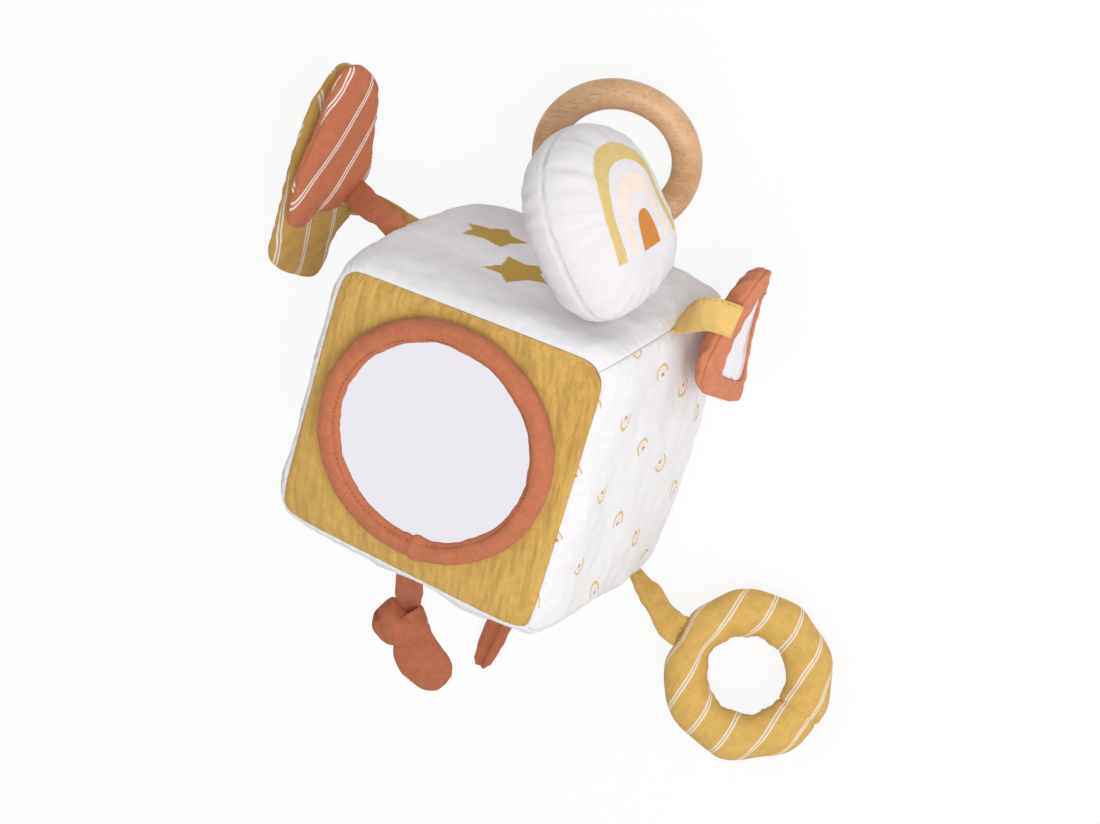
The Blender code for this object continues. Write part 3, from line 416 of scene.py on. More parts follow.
@dataclass(frozen=True)
class Stitches:
    """A row of short threads laid along a line, each a small bowed capsule."""

    pitch: float = 0.0024
    length: float = 0.0016
    radius: float = 0.00022

    def patches(self, line: Array, lift: Array) -> list[Patch]:
        """One capsule for each pitch of the line.

        A capsule's point is place + along * x + side and lift * r(x), with r(x) = radius * sqrt(1 - (2x/length)^2)
        and a bow that raises its middle.

        Args:
            line: The points that the row follows.
            lift: The outward direction at each point of the line.

        Returns:
            The capsules' patches.
        """
        run = run_along(line)
        at = np.arange(self.pitch / 2, run[-1], self.pitch)
        place, up = read_at(at, run, line), unit(read_at(at, run, lift))
        along = unit(read_at(at + self.length / 4, run, line) - place)
        x = np.cos(np.linspace(math.pi, 0.0, 6))
        thick = np.sqrt(np.maximum(1 - x**2, 0.0))[:, None, None] * self.radius
        turn = around(6)
        made = []
        for middle, forward, beside, above in zip(place, along, np.cross(along, up), up):
            spine = middle + forward * (x * self.length / 2)[:, None] + above * ((1 - x**2) * self.radius)[:, None]
            ring = thick * (beside * np.cos(turn)[:, None] + above * np.sin(turn)[:, None])
            made.append(closed_patch(spine[:, None] + ring, np.zeros((len(x), 7, 2))))
        return made


# Finishes


@dataclass(frozen=True)
class Value:
    """A number at each place of a surface. Sums and products of it are math nodes of its graph."""

    graph: Graph
    socket: Socket

    def worked(self, operation: str, *others: Value | float) -> Value:
        """The result of a math node with this value first."""
        return self.graph.math(operation, self, *others)

    def __add__(self, other: Value | float) -> Value:
        """The sum."""
        return self.worked("ADD", other)

    def __sub__(self, other: Value | float) -> Value:
        """The difference."""
        return self.worked("SUBTRACT", other)

    def __mul__(self, other: Value | float) -> Value:
        """The product."""
        return self.worked("MULTIPLY", other)

    def __truediv__(self, other: float) -> Value:
        """The quotient."""
        return self.worked("DIVIDE", other)

    def __floordiv__(self, other: float) -> Value:
        """The quotient, rounded down."""
        return (self / other).worked("FLOOR")

    def __mod__(self, other: float) -> Value:
        """What is left over a multiple, from 0 up."""
        return self.worked("FLOORED_MODULO", other)

    def __pow__(self, other: float) -> Value:
        """The power."""
        return self.worked("POWER", other)

    def __abs__(self) -> Value:
        """The size without its sign."""
        return self.worked("ABSOLUTE")


class Graph:
    """The shader nodes of one material, wired by short calls."""

    def __init__(self, name: str) -> None:
        """Starts from a plain Principled shader."""
        self.material = bpy.data.materials.new(name)
        self.material.use_nodes = True
        self.tree = self.material.node_tree
        self.shader = self.tree.nodes["Principled BSDF"]

    def node(self, kind: str, **settings: object) -> bpy.types.Node:
        """A new node with some of its settings."""
        made = self.tree.nodes.new(kind)
        for key, value in settings.items():
            setattr(made, key, value)
        return made

    def feed(self, socket: Socket, value: Value | Socket | float | Sequence[float]) -> None:
        """Links a socket, or sets its value."""
        value = value.socket if isinstance(value, Value) else value
        if isinstance(value, bpy.types.NodeSocket):
            self.tree.links.new(value, socket)
        else:
            socket.default_value = value

    def finish(self, **inputs: Value | Socket | float) -> bpy.types.Material:
        """The material, with some of its shader's inputs fed. A name has _ where the input's has a blank."""
        for name, value in inputs.items():
            self.feed(self.shader.inputs[name.replace("_", " ")], value)
        return self.material

    def math(self, operation: str, *values: Value | Socket | float) -> Value:
        """The result of a math node."""
        made = self.node("ShaderNodeMath", operation=operation)
        for socket, value in zip(made.inputs, values):
            self.feed(socket, value)
        return Value(self, made.outputs[0])

    def split(self, vector: Socket) -> tuple[Value, Value]:
        """A vector's first two numbers."""
        made = self.node("ShaderNodeSeparateXYZ")
        self.feed(made.inputs[0], vector)
        return Value(self, made.outputs[0]), Value(self, made.outputs[1])

    def join(self, x: Value, y: Value) -> Socket:
        """Two numbers as a vector, with 0 for the third."""
        made = self.node("ShaderNodeCombineXYZ")
        for socket, value in zip(made.inputs, (x, y)):
            self.feed(socket, value)
        return made.outputs[0]

    def cloth_place(self) -> Socket:
        """The place on the cloth, in metres."""
        return self.node("ShaderNodeUVMap", uv_map=CLOTH_MAP).outputs[0]

    def object_place(self) -> Socket:
        """The place in the block's frame, in metres."""
        return self.node("ShaderNodeTexCoord").outputs["Object"]

    def scaled(self, vector: Socket, scale: Place, turn: float = 0.0) -> Socket:
        """A vector turned back by an angle about Z and then scaled, by a mapping node."""
        made = self.node("ShaderNodeMapping", vector_type="TEXTURE")
        self.feed(made.inputs["Vector"], vector)
        made.inputs["Scale"].default_value = tuple(1 / part for part in scale)
        made.inputs["Rotation"].default_value[2] = turn
        return made.outputs[0]

    def noise(self, vector: Socket, scale: float = 1.0, detail: float = 2.0) -> Value:
        """Uneven values of about 0.2 to 0.8."""
        made = self.node("ShaderNodeTexNoise")
        for name, value in (("Vector", vector), ("Scale", scale), ("Detail", detail)):
            self.feed(made.inputs[name], value)
        return Value(self, made.outputs[0])

    def between(self, value: Value, low: float, high: float, to_low: float = 0.0, to_high: float = 1.0) -> Value:
        """A value's share between two limits, stretched to two others and held there."""
        made = self.node("ShaderNodeMapRange", clamp=True, interpolation_type="SMOOTHSTEP")
        for socket, number in zip(made.inputs, (value, low, high, to_low, to_high)):
            self.feed(socket, number)
        return Value(self, made.outputs[0])

    def mix(self, share: Value, below: Socket | Colour, above: Socket | Colour) -> Socket:
        """Two colours mixed by a share."""
        made = self.node("ShaderNodeMix", data_type="RGBA")
        self.feed(made.inputs[0], share)
        for socket, colour in ((made.inputs[6], below), (made.inputs[7], above)):
            self.feed(socket, colour if isinstance(colour, bpy.types.NodeSocket) else (*colour, 1.0))
        return made.outputs[2]

    def bump(self, height: Value, distance: float, below: Socket | None = None) -> Socket:
        """A normal from a height of 0 to 1 that stands the distance proud."""
        made = self.node("ShaderNodeBump")
        made.inputs["Distance"].default_value = distance
        self.feed(made.inputs["Height"], height)
        if below is not None:
            self.feed(made.inputs["Normal"], below)
        return made.outputs[0]


def shade(colour: Colour, share: float) -> Colour:
    """A colour made darker or lighter by a share."""
    return tuple(min(part * share, 1.0) for part in colour)


class Dye(Enum):
    """Colours of the cloths, prints and threads. The clay of the tail, knot and tag is darkened to paint the block's
    shade over them, and the binding's thread is a darker clay, partly its own dye and partly painted shade.
    """

    WHITE = (0.80, 0.785, 0.80)
    OCHRE = (0.62, 0.385, 0.104)
    CLAY = (0.485, 0.156, 0.075)
    # partly painted shade: a darker clay for the binding's stitches, which also stands for the shade round them
    SHADED_CLAY_THREAD = (0.36, 0.085, 0.035)
    DEEP_OCHRE = (0.540, 0.315, 0.086)
    # painted shade: clay darkened for the tail, knot and tag that lie in the block's shade
    SHADED_CLAY = (0.400, 0.122, 0.058)
    PALE_CLAY = (0.600, 0.215, 0.112)
    PALE_OCHRE = (0.74, 0.49, 0.165)
    GREY_WHITE = (0.730, 0.705, 0.725)
    PRINT_OCHRE = (0.66, 0.495, 0.195)
    PRINT_PINK = (0.85, 0.69, 0.61)
    PRINT_ORANGE = (0.60, 0.22, 0.035)
    PRINT_GOLD = (0.50, 0.31, 0.055)
    WHITE_LINE = (0.80, 0.74, 0.68)
    STEEL_THREAD = (0.42, 0.40, 0.40)


@dataclass(frozen=True)
class NestedArches:
    """Plain arches one inside the other, standing on one base line.

    An arch is |x / half width|^p + (y / height)^p < 1 above the line.
    """

    foot: tuple[float, float]
    half_widths: tuple[float, ...]
    heights: tuple[float, ...]
    dyes: tuple[Dye, ...]
    soft: float = 0.03
    power: float = 2.4
    slope: float = 0.0
    lean: float = 0.0

    def layers(self, graph: Graph, u: Value, v: Value) -> Iterator[tuple[Value, Colour]]:
        """Each arch as a share and a colour, the widest first."""
        along = u - self.foot[0]
        y = along * self.slope + (v - self.foot[1])
        x = abs(y * -self.lean + along)
        above, tall = y.worked("GREATER_THAN", 0.0), y.worked("MAXIMUM", 0.0)
        for half, height, dye in zip(self.half_widths, self.heights, self.dyes):
            reach = (x / half) ** self.power + (tall / height) ** self.power
            yield graph.between(reach, 1 - self.soft, 1 + self.soft, 1.0, 0.0) * above, dye.value


@dataclass(frozen=True)
class ScatteredArches:
    """Small arches in staggered rows, turned this way and that.

    The cloth is cut into cells, and every second row of them is moved by half a cell. A nest of arches is
    turned by start, by half a turn in the moved rows, and by one of three steps.
    """

    across: float = 0.031
    rows: float = 0.027
    start: float = -1.4
    step: float = 0.28
    nest: NestedArches = NestedArches(
        foot=(0.0, -0.0034),
        half_widths=(0.0037, 0.0028, 0.0022, 0.0013, 0.0009),
        heights=(0.0070, 0.0055, 0.0043, 0.0028, 0.0019),
        dyes=(Dye.PRINT_OCHRE, Dye.WHITE, Dye.PRINT_PINK, Dye.WHITE, Dye.PRINT_ORANGE),
        soft=0.08,
        lean=0.15,
    )

    def layers(self, graph: Graph, u: Value, v: Value) -> Iterator[tuple[Value, Colour]]:
        """Each arch as a share and a colour, in the cell's own turned coordinates."""
        row = v // self.rows
        odd = row % 2.0
        shifted = odd * (self.across / 2) + u
        column = shifted // self.across
        x, y = shifted - (column + 0.5) * self.across, v - (row + 0.5) * self.rows
        angle = (row + column) % 3.0 * self.step + (odd * math.pi + self.start)
        cosine, sine = angle.worked("COSINE"), angle.worked("SINE")
        yield from self.nest.layers(graph, x * cosine - y * sine, x * sine + y * cosine)


@dataclass(frozen=True)
class Stars:
    """Five-pointed stars: a point is inside where it lies behind the edge from a tip to the next notch."""

    places: tuple[tuple[float, float, float], ...]
    radius: float = 0.0140
    notch_share: float = 0.60
    soft: float = 0.00045
    rough: float = 0.0016

    def layers(self, graph: Graph, u: Value, v: Value) -> Iterator[tuple[Value, Colour]]:
        """Each star as a share and a colour. A place is its middle and its turn."""
        tenth = math.pi / 5
        notch = (self.radius * self.notch_share * math.cos(tenth), self.radius * self.notch_share * math.sin(tenth))
        edge_x, edge_y = unit(np.array([notch[1], self.radius - notch[0]])).tolist()
        limit = edge_x * self.radius
        torn = (graph.noise(graph.join(u, v), 900.0, 1.0) - 0.5) * self.rough
        for middle_u, middle_v, turn in self.places:
            x, y = u - middle_u, v - middle_v
            angle = (y.worked("ARCTAN2", x) + turn) % (2 * tenth)
            folded = graph.math("SUBTRACT", tenth, abs(angle - tenth))
            radius = (x * x + y * y).worked("SQRT")
            beyond = radius * folded.worked("SINE") * edge_y + radius * folded.worked("COSINE") * edge_x + torn
            yield graph.between(beyond, limit - self.soft, limit + self.soft, 1.0, 0.0), Dye.PRINT_GOLD.value


@dataclass(frozen=True)
class TwinLines:
    """Pairs of thin woven lines side by side, at an even pitch across the cloth."""

    angle: float
    start: float = 0.0
    pitch: float = 0.0129
    apart: float = 0.00062
    half_line: float = 0.00032
    sway: float = 0.0012

    def layers(self, graph: Graph, u: Value, v: Value) -> Iterator[tuple[Value, Colour]]:
        """The distance from the nearest pair's middle, less half their spacing, gives both lines at once."""
        slow = graph.noise(graph.join(u, v), 60.0, 0.0) - 0.5
        distance = slow * self.sway + (v * math.sin(self.angle) + u * math.cos(self.angle))
        line = abs(abs((distance - self.start) % self.pitch - self.pitch / 2) - self.apart)
        yield graph.between(line, self.half_line * 0.6, self.half_line * 1.4, 0.92, 0.0), Dye.WHITE_LINE.value


Print = NestedArches | ScatteredArches | Stars | TwinLines
# Noise scales, lean and bump height of the crinkles, whose valleys also get painted shade
CRINKLES = ((230.0, 34.0, 1.0), (520.0, 60.0, 1.0))
CRINKLE_LEAN = 0.12
CRINKLE_HEIGHT = 0.0007


@dataclass(frozen=True)
class Muslin:
    """A plain woven cloth with uneven threads, soft wrinkles and a faint nap."""

    name: str
    dye: Dye
    thread: float = 0.00075
    weave: float = 0.00016
    wrinkle: float = 0.00035
    mottle: float = 0.10
    # crinkle: how far painted shade darkens the crinkles' valleys; above 0 it also adds their bump
    crinkle: float = 0.0
    prints: tuple[Print, ...] = ()

    def material(self) -> bpy.types.Material:
        """Threads: sin(2 pi u / p) * sin(2 pi v / p) gives the overs and unders, and two stretched noises the slubs.
        Painted shade darkens the weave's hollows, and the crinkles' valleys where there are crinkles.
        """
        graph = Graph(self.name)
        place = graph.cloth_place()
        u, v = graph.split(place)
        over, under = ((way * (TURN / self.thread)).worked("SINE") for way in (u, v))
        weave = over * under * 0.5 + 0.5
        warp, weft = (graph.noise(graph.scaled(place, way)) for way in self.threads)
        slub = (warp + weft) * 0.5
        light = graph.between(slub * 0.55 + graph.noise(place, 220.0, 4.0) * 0.45, 0.36, 0.62)
        base = self.dye.value
        colour = graph.mix(light, shade(base, 1 - self.mottle), shade(base, 1 + self.mottle * 0.6))
        for design in self.prints:
            for share, dye in design.layers(graph, u, v):
                colour = graph.mix(share, colour, graph.mix(light, shade(dye, 0.94), shade(dye, 1.04)))
        low = graph.bump(graph.noise(place, 260.0, 3.0), self.wrinkle)
        if self.crinkle:
            broad, fine = (graph.noise(graph.scaled(place, way, CRINKLE_LEAN)) for way in CRINKLES)
            waves = fine * 0.35 + broad * 0.65
            # painted shade: the crinkles' valleys are mixed up to the crinkle share towards 0.62 of the dye
            colour = graph.mix(graph.between(waves, 0.38, 0.56, self.crinkle, 0.0), colour, shade(base, 0.62))
            low = graph.bump(waves, CRINKLE_HEIGHT, low)
        # painted shade: where the weave dips, the colour is mixed up to a tenth of the way towards 0.35 of the dye
        hollow = graph.between(weave, 0.0, 0.45, 0.10, 0.0)
        return graph.finish(
            Base_Color=graph.mix(hollow, colour, shade(base, 0.35)),
            Roughness=0.94,
            Specular_IOR_Level=0.18,
            Sheen_Weight=0.05,
            Sheen_Roughness=0.6,
            Normal=graph.bump(weave * 0.6 + slub * 0.4, self.weave, low),
        )

    @property
    def threads(self) -> tuple[Place, Place]:
        """The noises' scales for the slubs of warp and weft: fine across a thread and slow along it."""
        return (1 / self.thread, 90.0, 1.0), (90.0, 1 / self.thread, 1.0)


@dataclass(frozen=True)
class Thread:
    """Sewing thread: plies twisted round each other."""

    name: str
    dye: Dye

    def material(self) -> bpy.types.Material:
        """Fine noise stands for the plies."""
        graph = Graph(self.name)
        ply = graph.noise(graph.object_place(), 2500.0)
        base = self.dye.value
        colour = graph.mix(ply, shade(base, 0.8), shade(base, 1.2))
        return graph.finish(Base_Color=colour, Roughness=0.7, Normal=graph.bump(ply, 0.0001))


@dataclass(frozen=True)
class Beech:
    """Oiled beech: broad faint growth bands, fine pores and the short dark flecks of its rays."""

    pale: Colour = (0.66, 0.410, 0.225)
    warm: Colour = (0.50, 0.270, 0.125)
    fleck: Colour = (0.24, 0.105, 0.040)
    bands: Place = (10.0, 110.0, 75.0)
    pores: Place = (90.0, 2000.0, 2000.0)
    rays: Place = (300.0, 1500.0, 1500.0)
    lean: float = 0.22

    def material(self) -> bpy.types.Material:
        """The grain runs along one direction: each noise is stretched along it."""
        graph = Graph("oiled beech")
        place = graph.object_place()
        bands = graph.noise(graph.scaled(place, self.bands, self.lean), detail=3.0)
        grain = graph.noise(graph.scaled(place, self.pores, self.lean), detail=3.0)
        rays = graph.noise(graph.scaled(place, self.rays, self.lean), detail=1.0)
        tone = graph.between(grain * 0.45 + bands * 0.55, 0.38, 0.62)
        flecks = graph.between(rays, 0.66, 0.73, 0.0, 0.55)
        return graph.finish(
            Base_Color=graph.mix(flecks, graph.mix(tone, self.warm, self.pale), self.fleck),
            Roughness=graph.between(grain, 0.3, 0.7, 0.40, 0.55),
            Coat_Weight=0.12,
            Coat_Roughness=0.35,
            Normal=graph.bump(grain, 0.00004),
        )


@dataclass(frozen=True)
class Film:
    """A smooth plastic film, pale or silvered, with slow waves in it."""

    name: str
    colour: Colour
    metallic: float = 0.0
    roughness: float = 0.08
    wave: float = 0.00006
    wave_scale: float = 35.0

    def material(self) -> bpy.types.Material:
        """Faint scuffs vary the gloss, and a slow noise bends the reflection."""
        graph = Graph(self.name)
        place = graph.object_place()
        scuff = graph.noise(graph.scaled(place, (900.0, 260.0, 260.0), 0.5), detail=4.0)
        return graph.finish(
            Base_Color=graph.mix(graph.noise(place, 22.0, 1.0), shade(self.colour, 0.985), self.colour),
            Roughness=graph.between(scuff, 0.4, 0.75, self.roughness * 0.8, self.roughness * 1.5),
            Metallic=self.metallic,
            Normal=graph.bump(graph.noise(place, self.wave_scale, 1.0), self.wave),
        )


@dataclass(frozen=True)
class Stuffing:
    """Foam, wadding or moulded plastic inside, which no one sees."""

    name: str
    colour: Colour
    cell: float
    roughness: float = 1.0

    def material(self) -> bpy.types.Material:
        """Small cells in colour and height."""
        graph = Graph(self.name)
        cells = graph.noise(graph.object_place(), 1 / self.cell, 3.0)
        colour = graph.mix(cells, shade(self.colour, 0.9), self.colour)
        return graph.finish(Base_Color=colour, Roughness=self.roughness, Normal=graph.bump(cells, self.cell / 3))


WHITE_MUSLIN = Muslin("white muslin", Dye.WHITE, mottle=0.025, wrinkle=0.00022)
OCHRE_MUSLIN = Muslin("ochre muslin", Dye.OCHRE, wrinkle=0.00045)
CLAY_MUSLIN = Muslin("clay muslin", Dye.CLAY, mottle=0.12)
# clay muslin darkened as painted shade, for the tail, knot and tag
SHADED_CLAY_MUSLIN = Muslin("clay muslin in painted shade", Dye.SHADED_CLAY, mottle=0.12)
PALE_CLAY_MUSLIN = Muslin("pale clay muslin", Dye.PALE_CLAY, mottle=0.12)
# clay thread, darker partly by its own dye and partly as painted shade round the stitches
SHADED_CLAY_STITCHING = Thread("clay thread with painted shade", Dye.SHADED_CLAY_THREAD)
STEEL_STITCHING = Thread("grey thread", Dye.STEEL_THREAD)


# The block


MIRROR_PLACE = (0.0015, 0.0040)


@dataclass(frozen=True)
class FabricBlock:
    """The cube: six crowned panels that meet in rolled seams round the foam."""

    half: float = 0.0635
    centre_height: float = 0.0630
    power: float = 10.0
    skew: float = 0.082
    wrap: float = 0.0028
    gap: float = 0.0001
    cloth: float = 0.0007
    roll: float = 0.0003
    pucker: float = 0.00013
    crinkle: float = 0.00085
    hump: float = 0.0026
    mirror_place: tuple[float, float] = MIRROR_PLACE
    mirror_reach: float = 0.0500

    def surface(self, rays: Array, inset: Array) -> Array:
        """Where rays from the middle meet the crowned surface, drawn in by an inset.

        The surface is |x|^p + |y|^p + |z|^p = (half - inset)^p, longer in Y towards the right and the back, and
        fuller along the seam of the top and left panels.
        """
        reach = (self.half - inset) / (abs(rays) ** self.power).sum(axis=-1) ** (1 / self.power)
        x, y, z = np.moveaxis(rays * reach[..., None], -1, 0)
        y = y * (1 + self.skew * (x - z) / (2 * self.half))
        z = np.maximum(z + self.centre_height, np.maximum(inset, 0.0))
        full = near(np.hypot(x + self.half, y - self.half), 0.020) * near(z - 0.068, 0.030) * self.hump
        return np.stack([x - full * math.sqrt(0.5), y + full * math.sqrt(0.5), z], axis=-1)

    def rounding(self, x: Array, y: Array) -> Array:
        """How far the wrapped sides cut in at the front's corners, as a share of the half: most at the top right."""
        reach = np.where(y > 0, np.where(x > 0, 0.20, 0.11), 0.06)
        small, large = np.minimum(abs(x), abs(y)), np.maximum(abs(x), abs(y))
        beside = np.clip((small / np.maximum(large, 1e-9) - 1 + reach) / reach, 0.0, 1.0)
        return 0.29 * reach * beside**2

    def shares(self, low: float, high: float, steps: int) -> Array:
        """Shares across a panel, half even and half crowded towards both edges."""
        even = np.linspace(-1.0, 1.0, steps + 1)
        eased = (even + np.sin(even * math.pi / 2)) / 2
        return low + (high - low) * (eased + 1) / 2

    def seam_inset(self, distance: Array, run: Array, seed: int) -> Array:
        """How far a panel is drawn in near its seam: a rolled edge, and puckers that fade within a few millimetres."""
        puckers = ripple(run[..., None], 0.0052, seed) * np.exp(-distance / 0.0055)
        return self.roll * near(distance, 0.0012) + self.pucker * puckers * (1 - near(distance, 0.0006))

    def side(
        self,
        name: str,
        turn: Array,
        finish: bpy.types.Material,
        seed: int,
        bulge: tuple[float, float],
        shift: float = 0.0,
    ) -> bpy.types.Object:
        """A white side panel, which runs from the back seam over the front edge to the ochre front.

        Args:
            name: The panel's node.
            turn: Rows that carry across, outward and along into x, y and z.
            finish: Its material.
            seed: Picks its wrinkles.
            bulge: How far the stuffing pushes it out, and at which share of its height.
            shift: How far its print is moved towards the front.

        Returns:
            The finished panel.
        """
        edge = 1 - self.gap / self.half
        top = edge + self.wrap / self.half
        across = self.shares(-edge, edge, 120)
        along = np.concatenate([self.shares(-edge, 1.0, 120), np.linspace(1.0, top, 7)[1:]])
        a, c = np.meshgrid(across, along)
        corner = np.stack([a, np.ones_like(a), np.zeros_like(a)], axis=-1) @ turn
        over = np.maximum(c - 1, 0.0) * (1 + self.rounding(corner[..., 0], corner[..., 1]) * self.half / self.wrap)
        rays = np.stack([a * (1 - over), 1 - over, np.minimum(c, 1.0)], axis=-1) @ turn
        places = np.stack([a, c], axis=-1) * self.half
        ends = np.minimum(c + edge, top - c)
        sides = edge - abs(a)
        run = np.where(ends < sides, places[..., 0], places[..., 1])
        inset = self.seam_inset(np.minimum(ends, sides) * self.half, run, seed)
        middle = np.clip(np.minimum(ends, sides) * self.half / 0.012, 0.0, 1.0)
        inset = inset - (ripple(places, 0.034, seed + 1) * 0.0006 + ripple(places, 0.013, seed + 2) * 0.0002) * middle
        inset = inset - bulge[0] * near(c - bulge[1], 0.7) * np.cos(a * math.pi / 2)
        return self.panel(name, self.surface(rays, inset), places + np.array([0.0, shift]), finish)

    def front(self, finish: bpy.types.Material) -> bpy.types.Object:
        """The ochre front: crinkles run up the cloth, and the cloth lies flat under the mirror."""
        reach = 1 - (self.wrap + self.gap) / self.half
        a, b = np.meshgrid(*[self.shares(-reach, reach, 190)] * 2)
        places = np.stack([a, b], axis=-1) * self.half
        sides, ends = reach - abs(a), reach - abs(b)
        run = np.where(ends < sides, places[..., 0], places[..., 1])
        distance = np.minimum(sides, ends) * self.half
        inset = self.seam_inset(distance, run, 31) * 0.8
        lean = np.stack([places[..., 0] + places[..., 1] * 0.16, places[..., 1] - places[..., 0] * 0.16], axis=-1)
        creases = 0.75 * fold(lean, (0.0036, 0.022), 32) + 0.45 * fold(lean, (0.0019, 0.012), 33) + 0.35
        beside = np.linalg.norm(places - np.array(self.mirror_place), axis=-1) - self.mirror_reach
        free = np.clip(beside / 0.004, 0.0, 1.0) * np.clip(distance / 0.002, 0.2, 1.0)
        deep = 0.45 + 0.75 * near(places[..., 1] - self.half, 0.026) * (0.6 + 0.4 * a) + 0.25 * a
        gathers = near(np.hypot(places[..., 0] - 0.052, places[..., 1] - 0.040), 0.024)
        folds = (fold(lean, (0.0046, 0.034), 35) + 0.4) * gathers * np.clip(distance / 0.006, 0.1, 1.0) * 0.0021
        inset = np.minimum(inset - (self.crinkle * creases * deep + folds) * (0.2 + 0.8 * free), 0.0008)
        inset = np.where(beside < 0.001, np.maximum(inset, 0.0001), inset)
        drawn = 1 - self.rounding(a, b) / reach * (np.maximum(abs(a), abs(b)) / reach) ** 8
        rays = np.stack([a * drawn, b * drawn, np.ones_like(a)], axis=-1)
        return self.panel("front_panel", self.surface(rays, inset), places, finish)

    def back(self, finish: bpy.types.Material) -> bpy.types.Object:
        """The back panel, flat where the block rests on it."""
        edge = 1 - self.gap / self.half
        a, b = np.meshgrid(*[self.shares(-edge, edge, 110)] * 2)
        places = np.stack([a, b], axis=-1) * self.half
        sides, ends = edge - abs(a), edge - abs(b)
        run = np.where(ends < sides, places[..., 0], places[..., 1])
        inset = self.seam_inset(np.minimum(sides, ends) * self.half, run, 41)
        inset = np.maximum(inset, 0.00012 * (1 + ripple(places, 0.02, 42)))
        rays = np.stack([a, b, -np.ones_like(a)], axis=-1)
        return self.panel("back_panel", self.surface(rays, inset), places, finish)

    def panel(self, name: str, points: Array, places: Array, finish: bpy.types.Material) -> bpy.types.Object:
        """A panel as a cloth of its own thickness: its outer grid, an inner one, and strips that join their borders."""
        middle = np.array([0.0, 0.0, self.centre_height])
        inner = points - unit(points - middle) * self.cloth
        patches = [Patch(points, places), Patch(inner, places)]
        for rim in (np.s_[0], np.s_[-1], np.s_[:, 0], np.s_[:, -1]):
            patches.append(Patch(np.stack([points[rim], inner[rim]]), np.stack([places[rim]] * 2)))
        return seat(build(f"{name}_cloth", patches, [finish]), "block", name)

    def make(self) -> None:
        """All six panels."""
        plain = WHITE_MUSLIN.material()
        printed = replace(WHITE_MUSLIN, name="white muslin with arches", prints=(ScatteredArches(),)).material()
        stars = Stars(((-0.0270, -0.0085, 0.35), (-0.0030, 0.0185, 1.05)))
        starry = replace(WHITE_MUSLIN, name="white muslin with stars", prints=(stars,))
        x, y, z = np.eye(3)
        self.side("top_panel", np.stack([x, y, z]), starry.material(), 1, (0.0026, -0.05))
        self.side("right_panel", np.stack([-y, x, z]), printed, 5, (0.0034, -0.45))
        self.side("bottom_panel", np.stack([-x, -y, z]), plain, 9, (0.0006, -0.45))
        self.side("left_panel", np.stack([y, -x, z]), printed, 13, (0.0018, -0.45), shift=0.008)
        # crinkle=0.45 paints shade into the front's crinkle valleys
        self.front(Muslin("crinkled ochre muslin", Dye.OCHRE, wrinkle=0.00045, crinkle=0.45).material())
        self.back(plain)


# The mirror


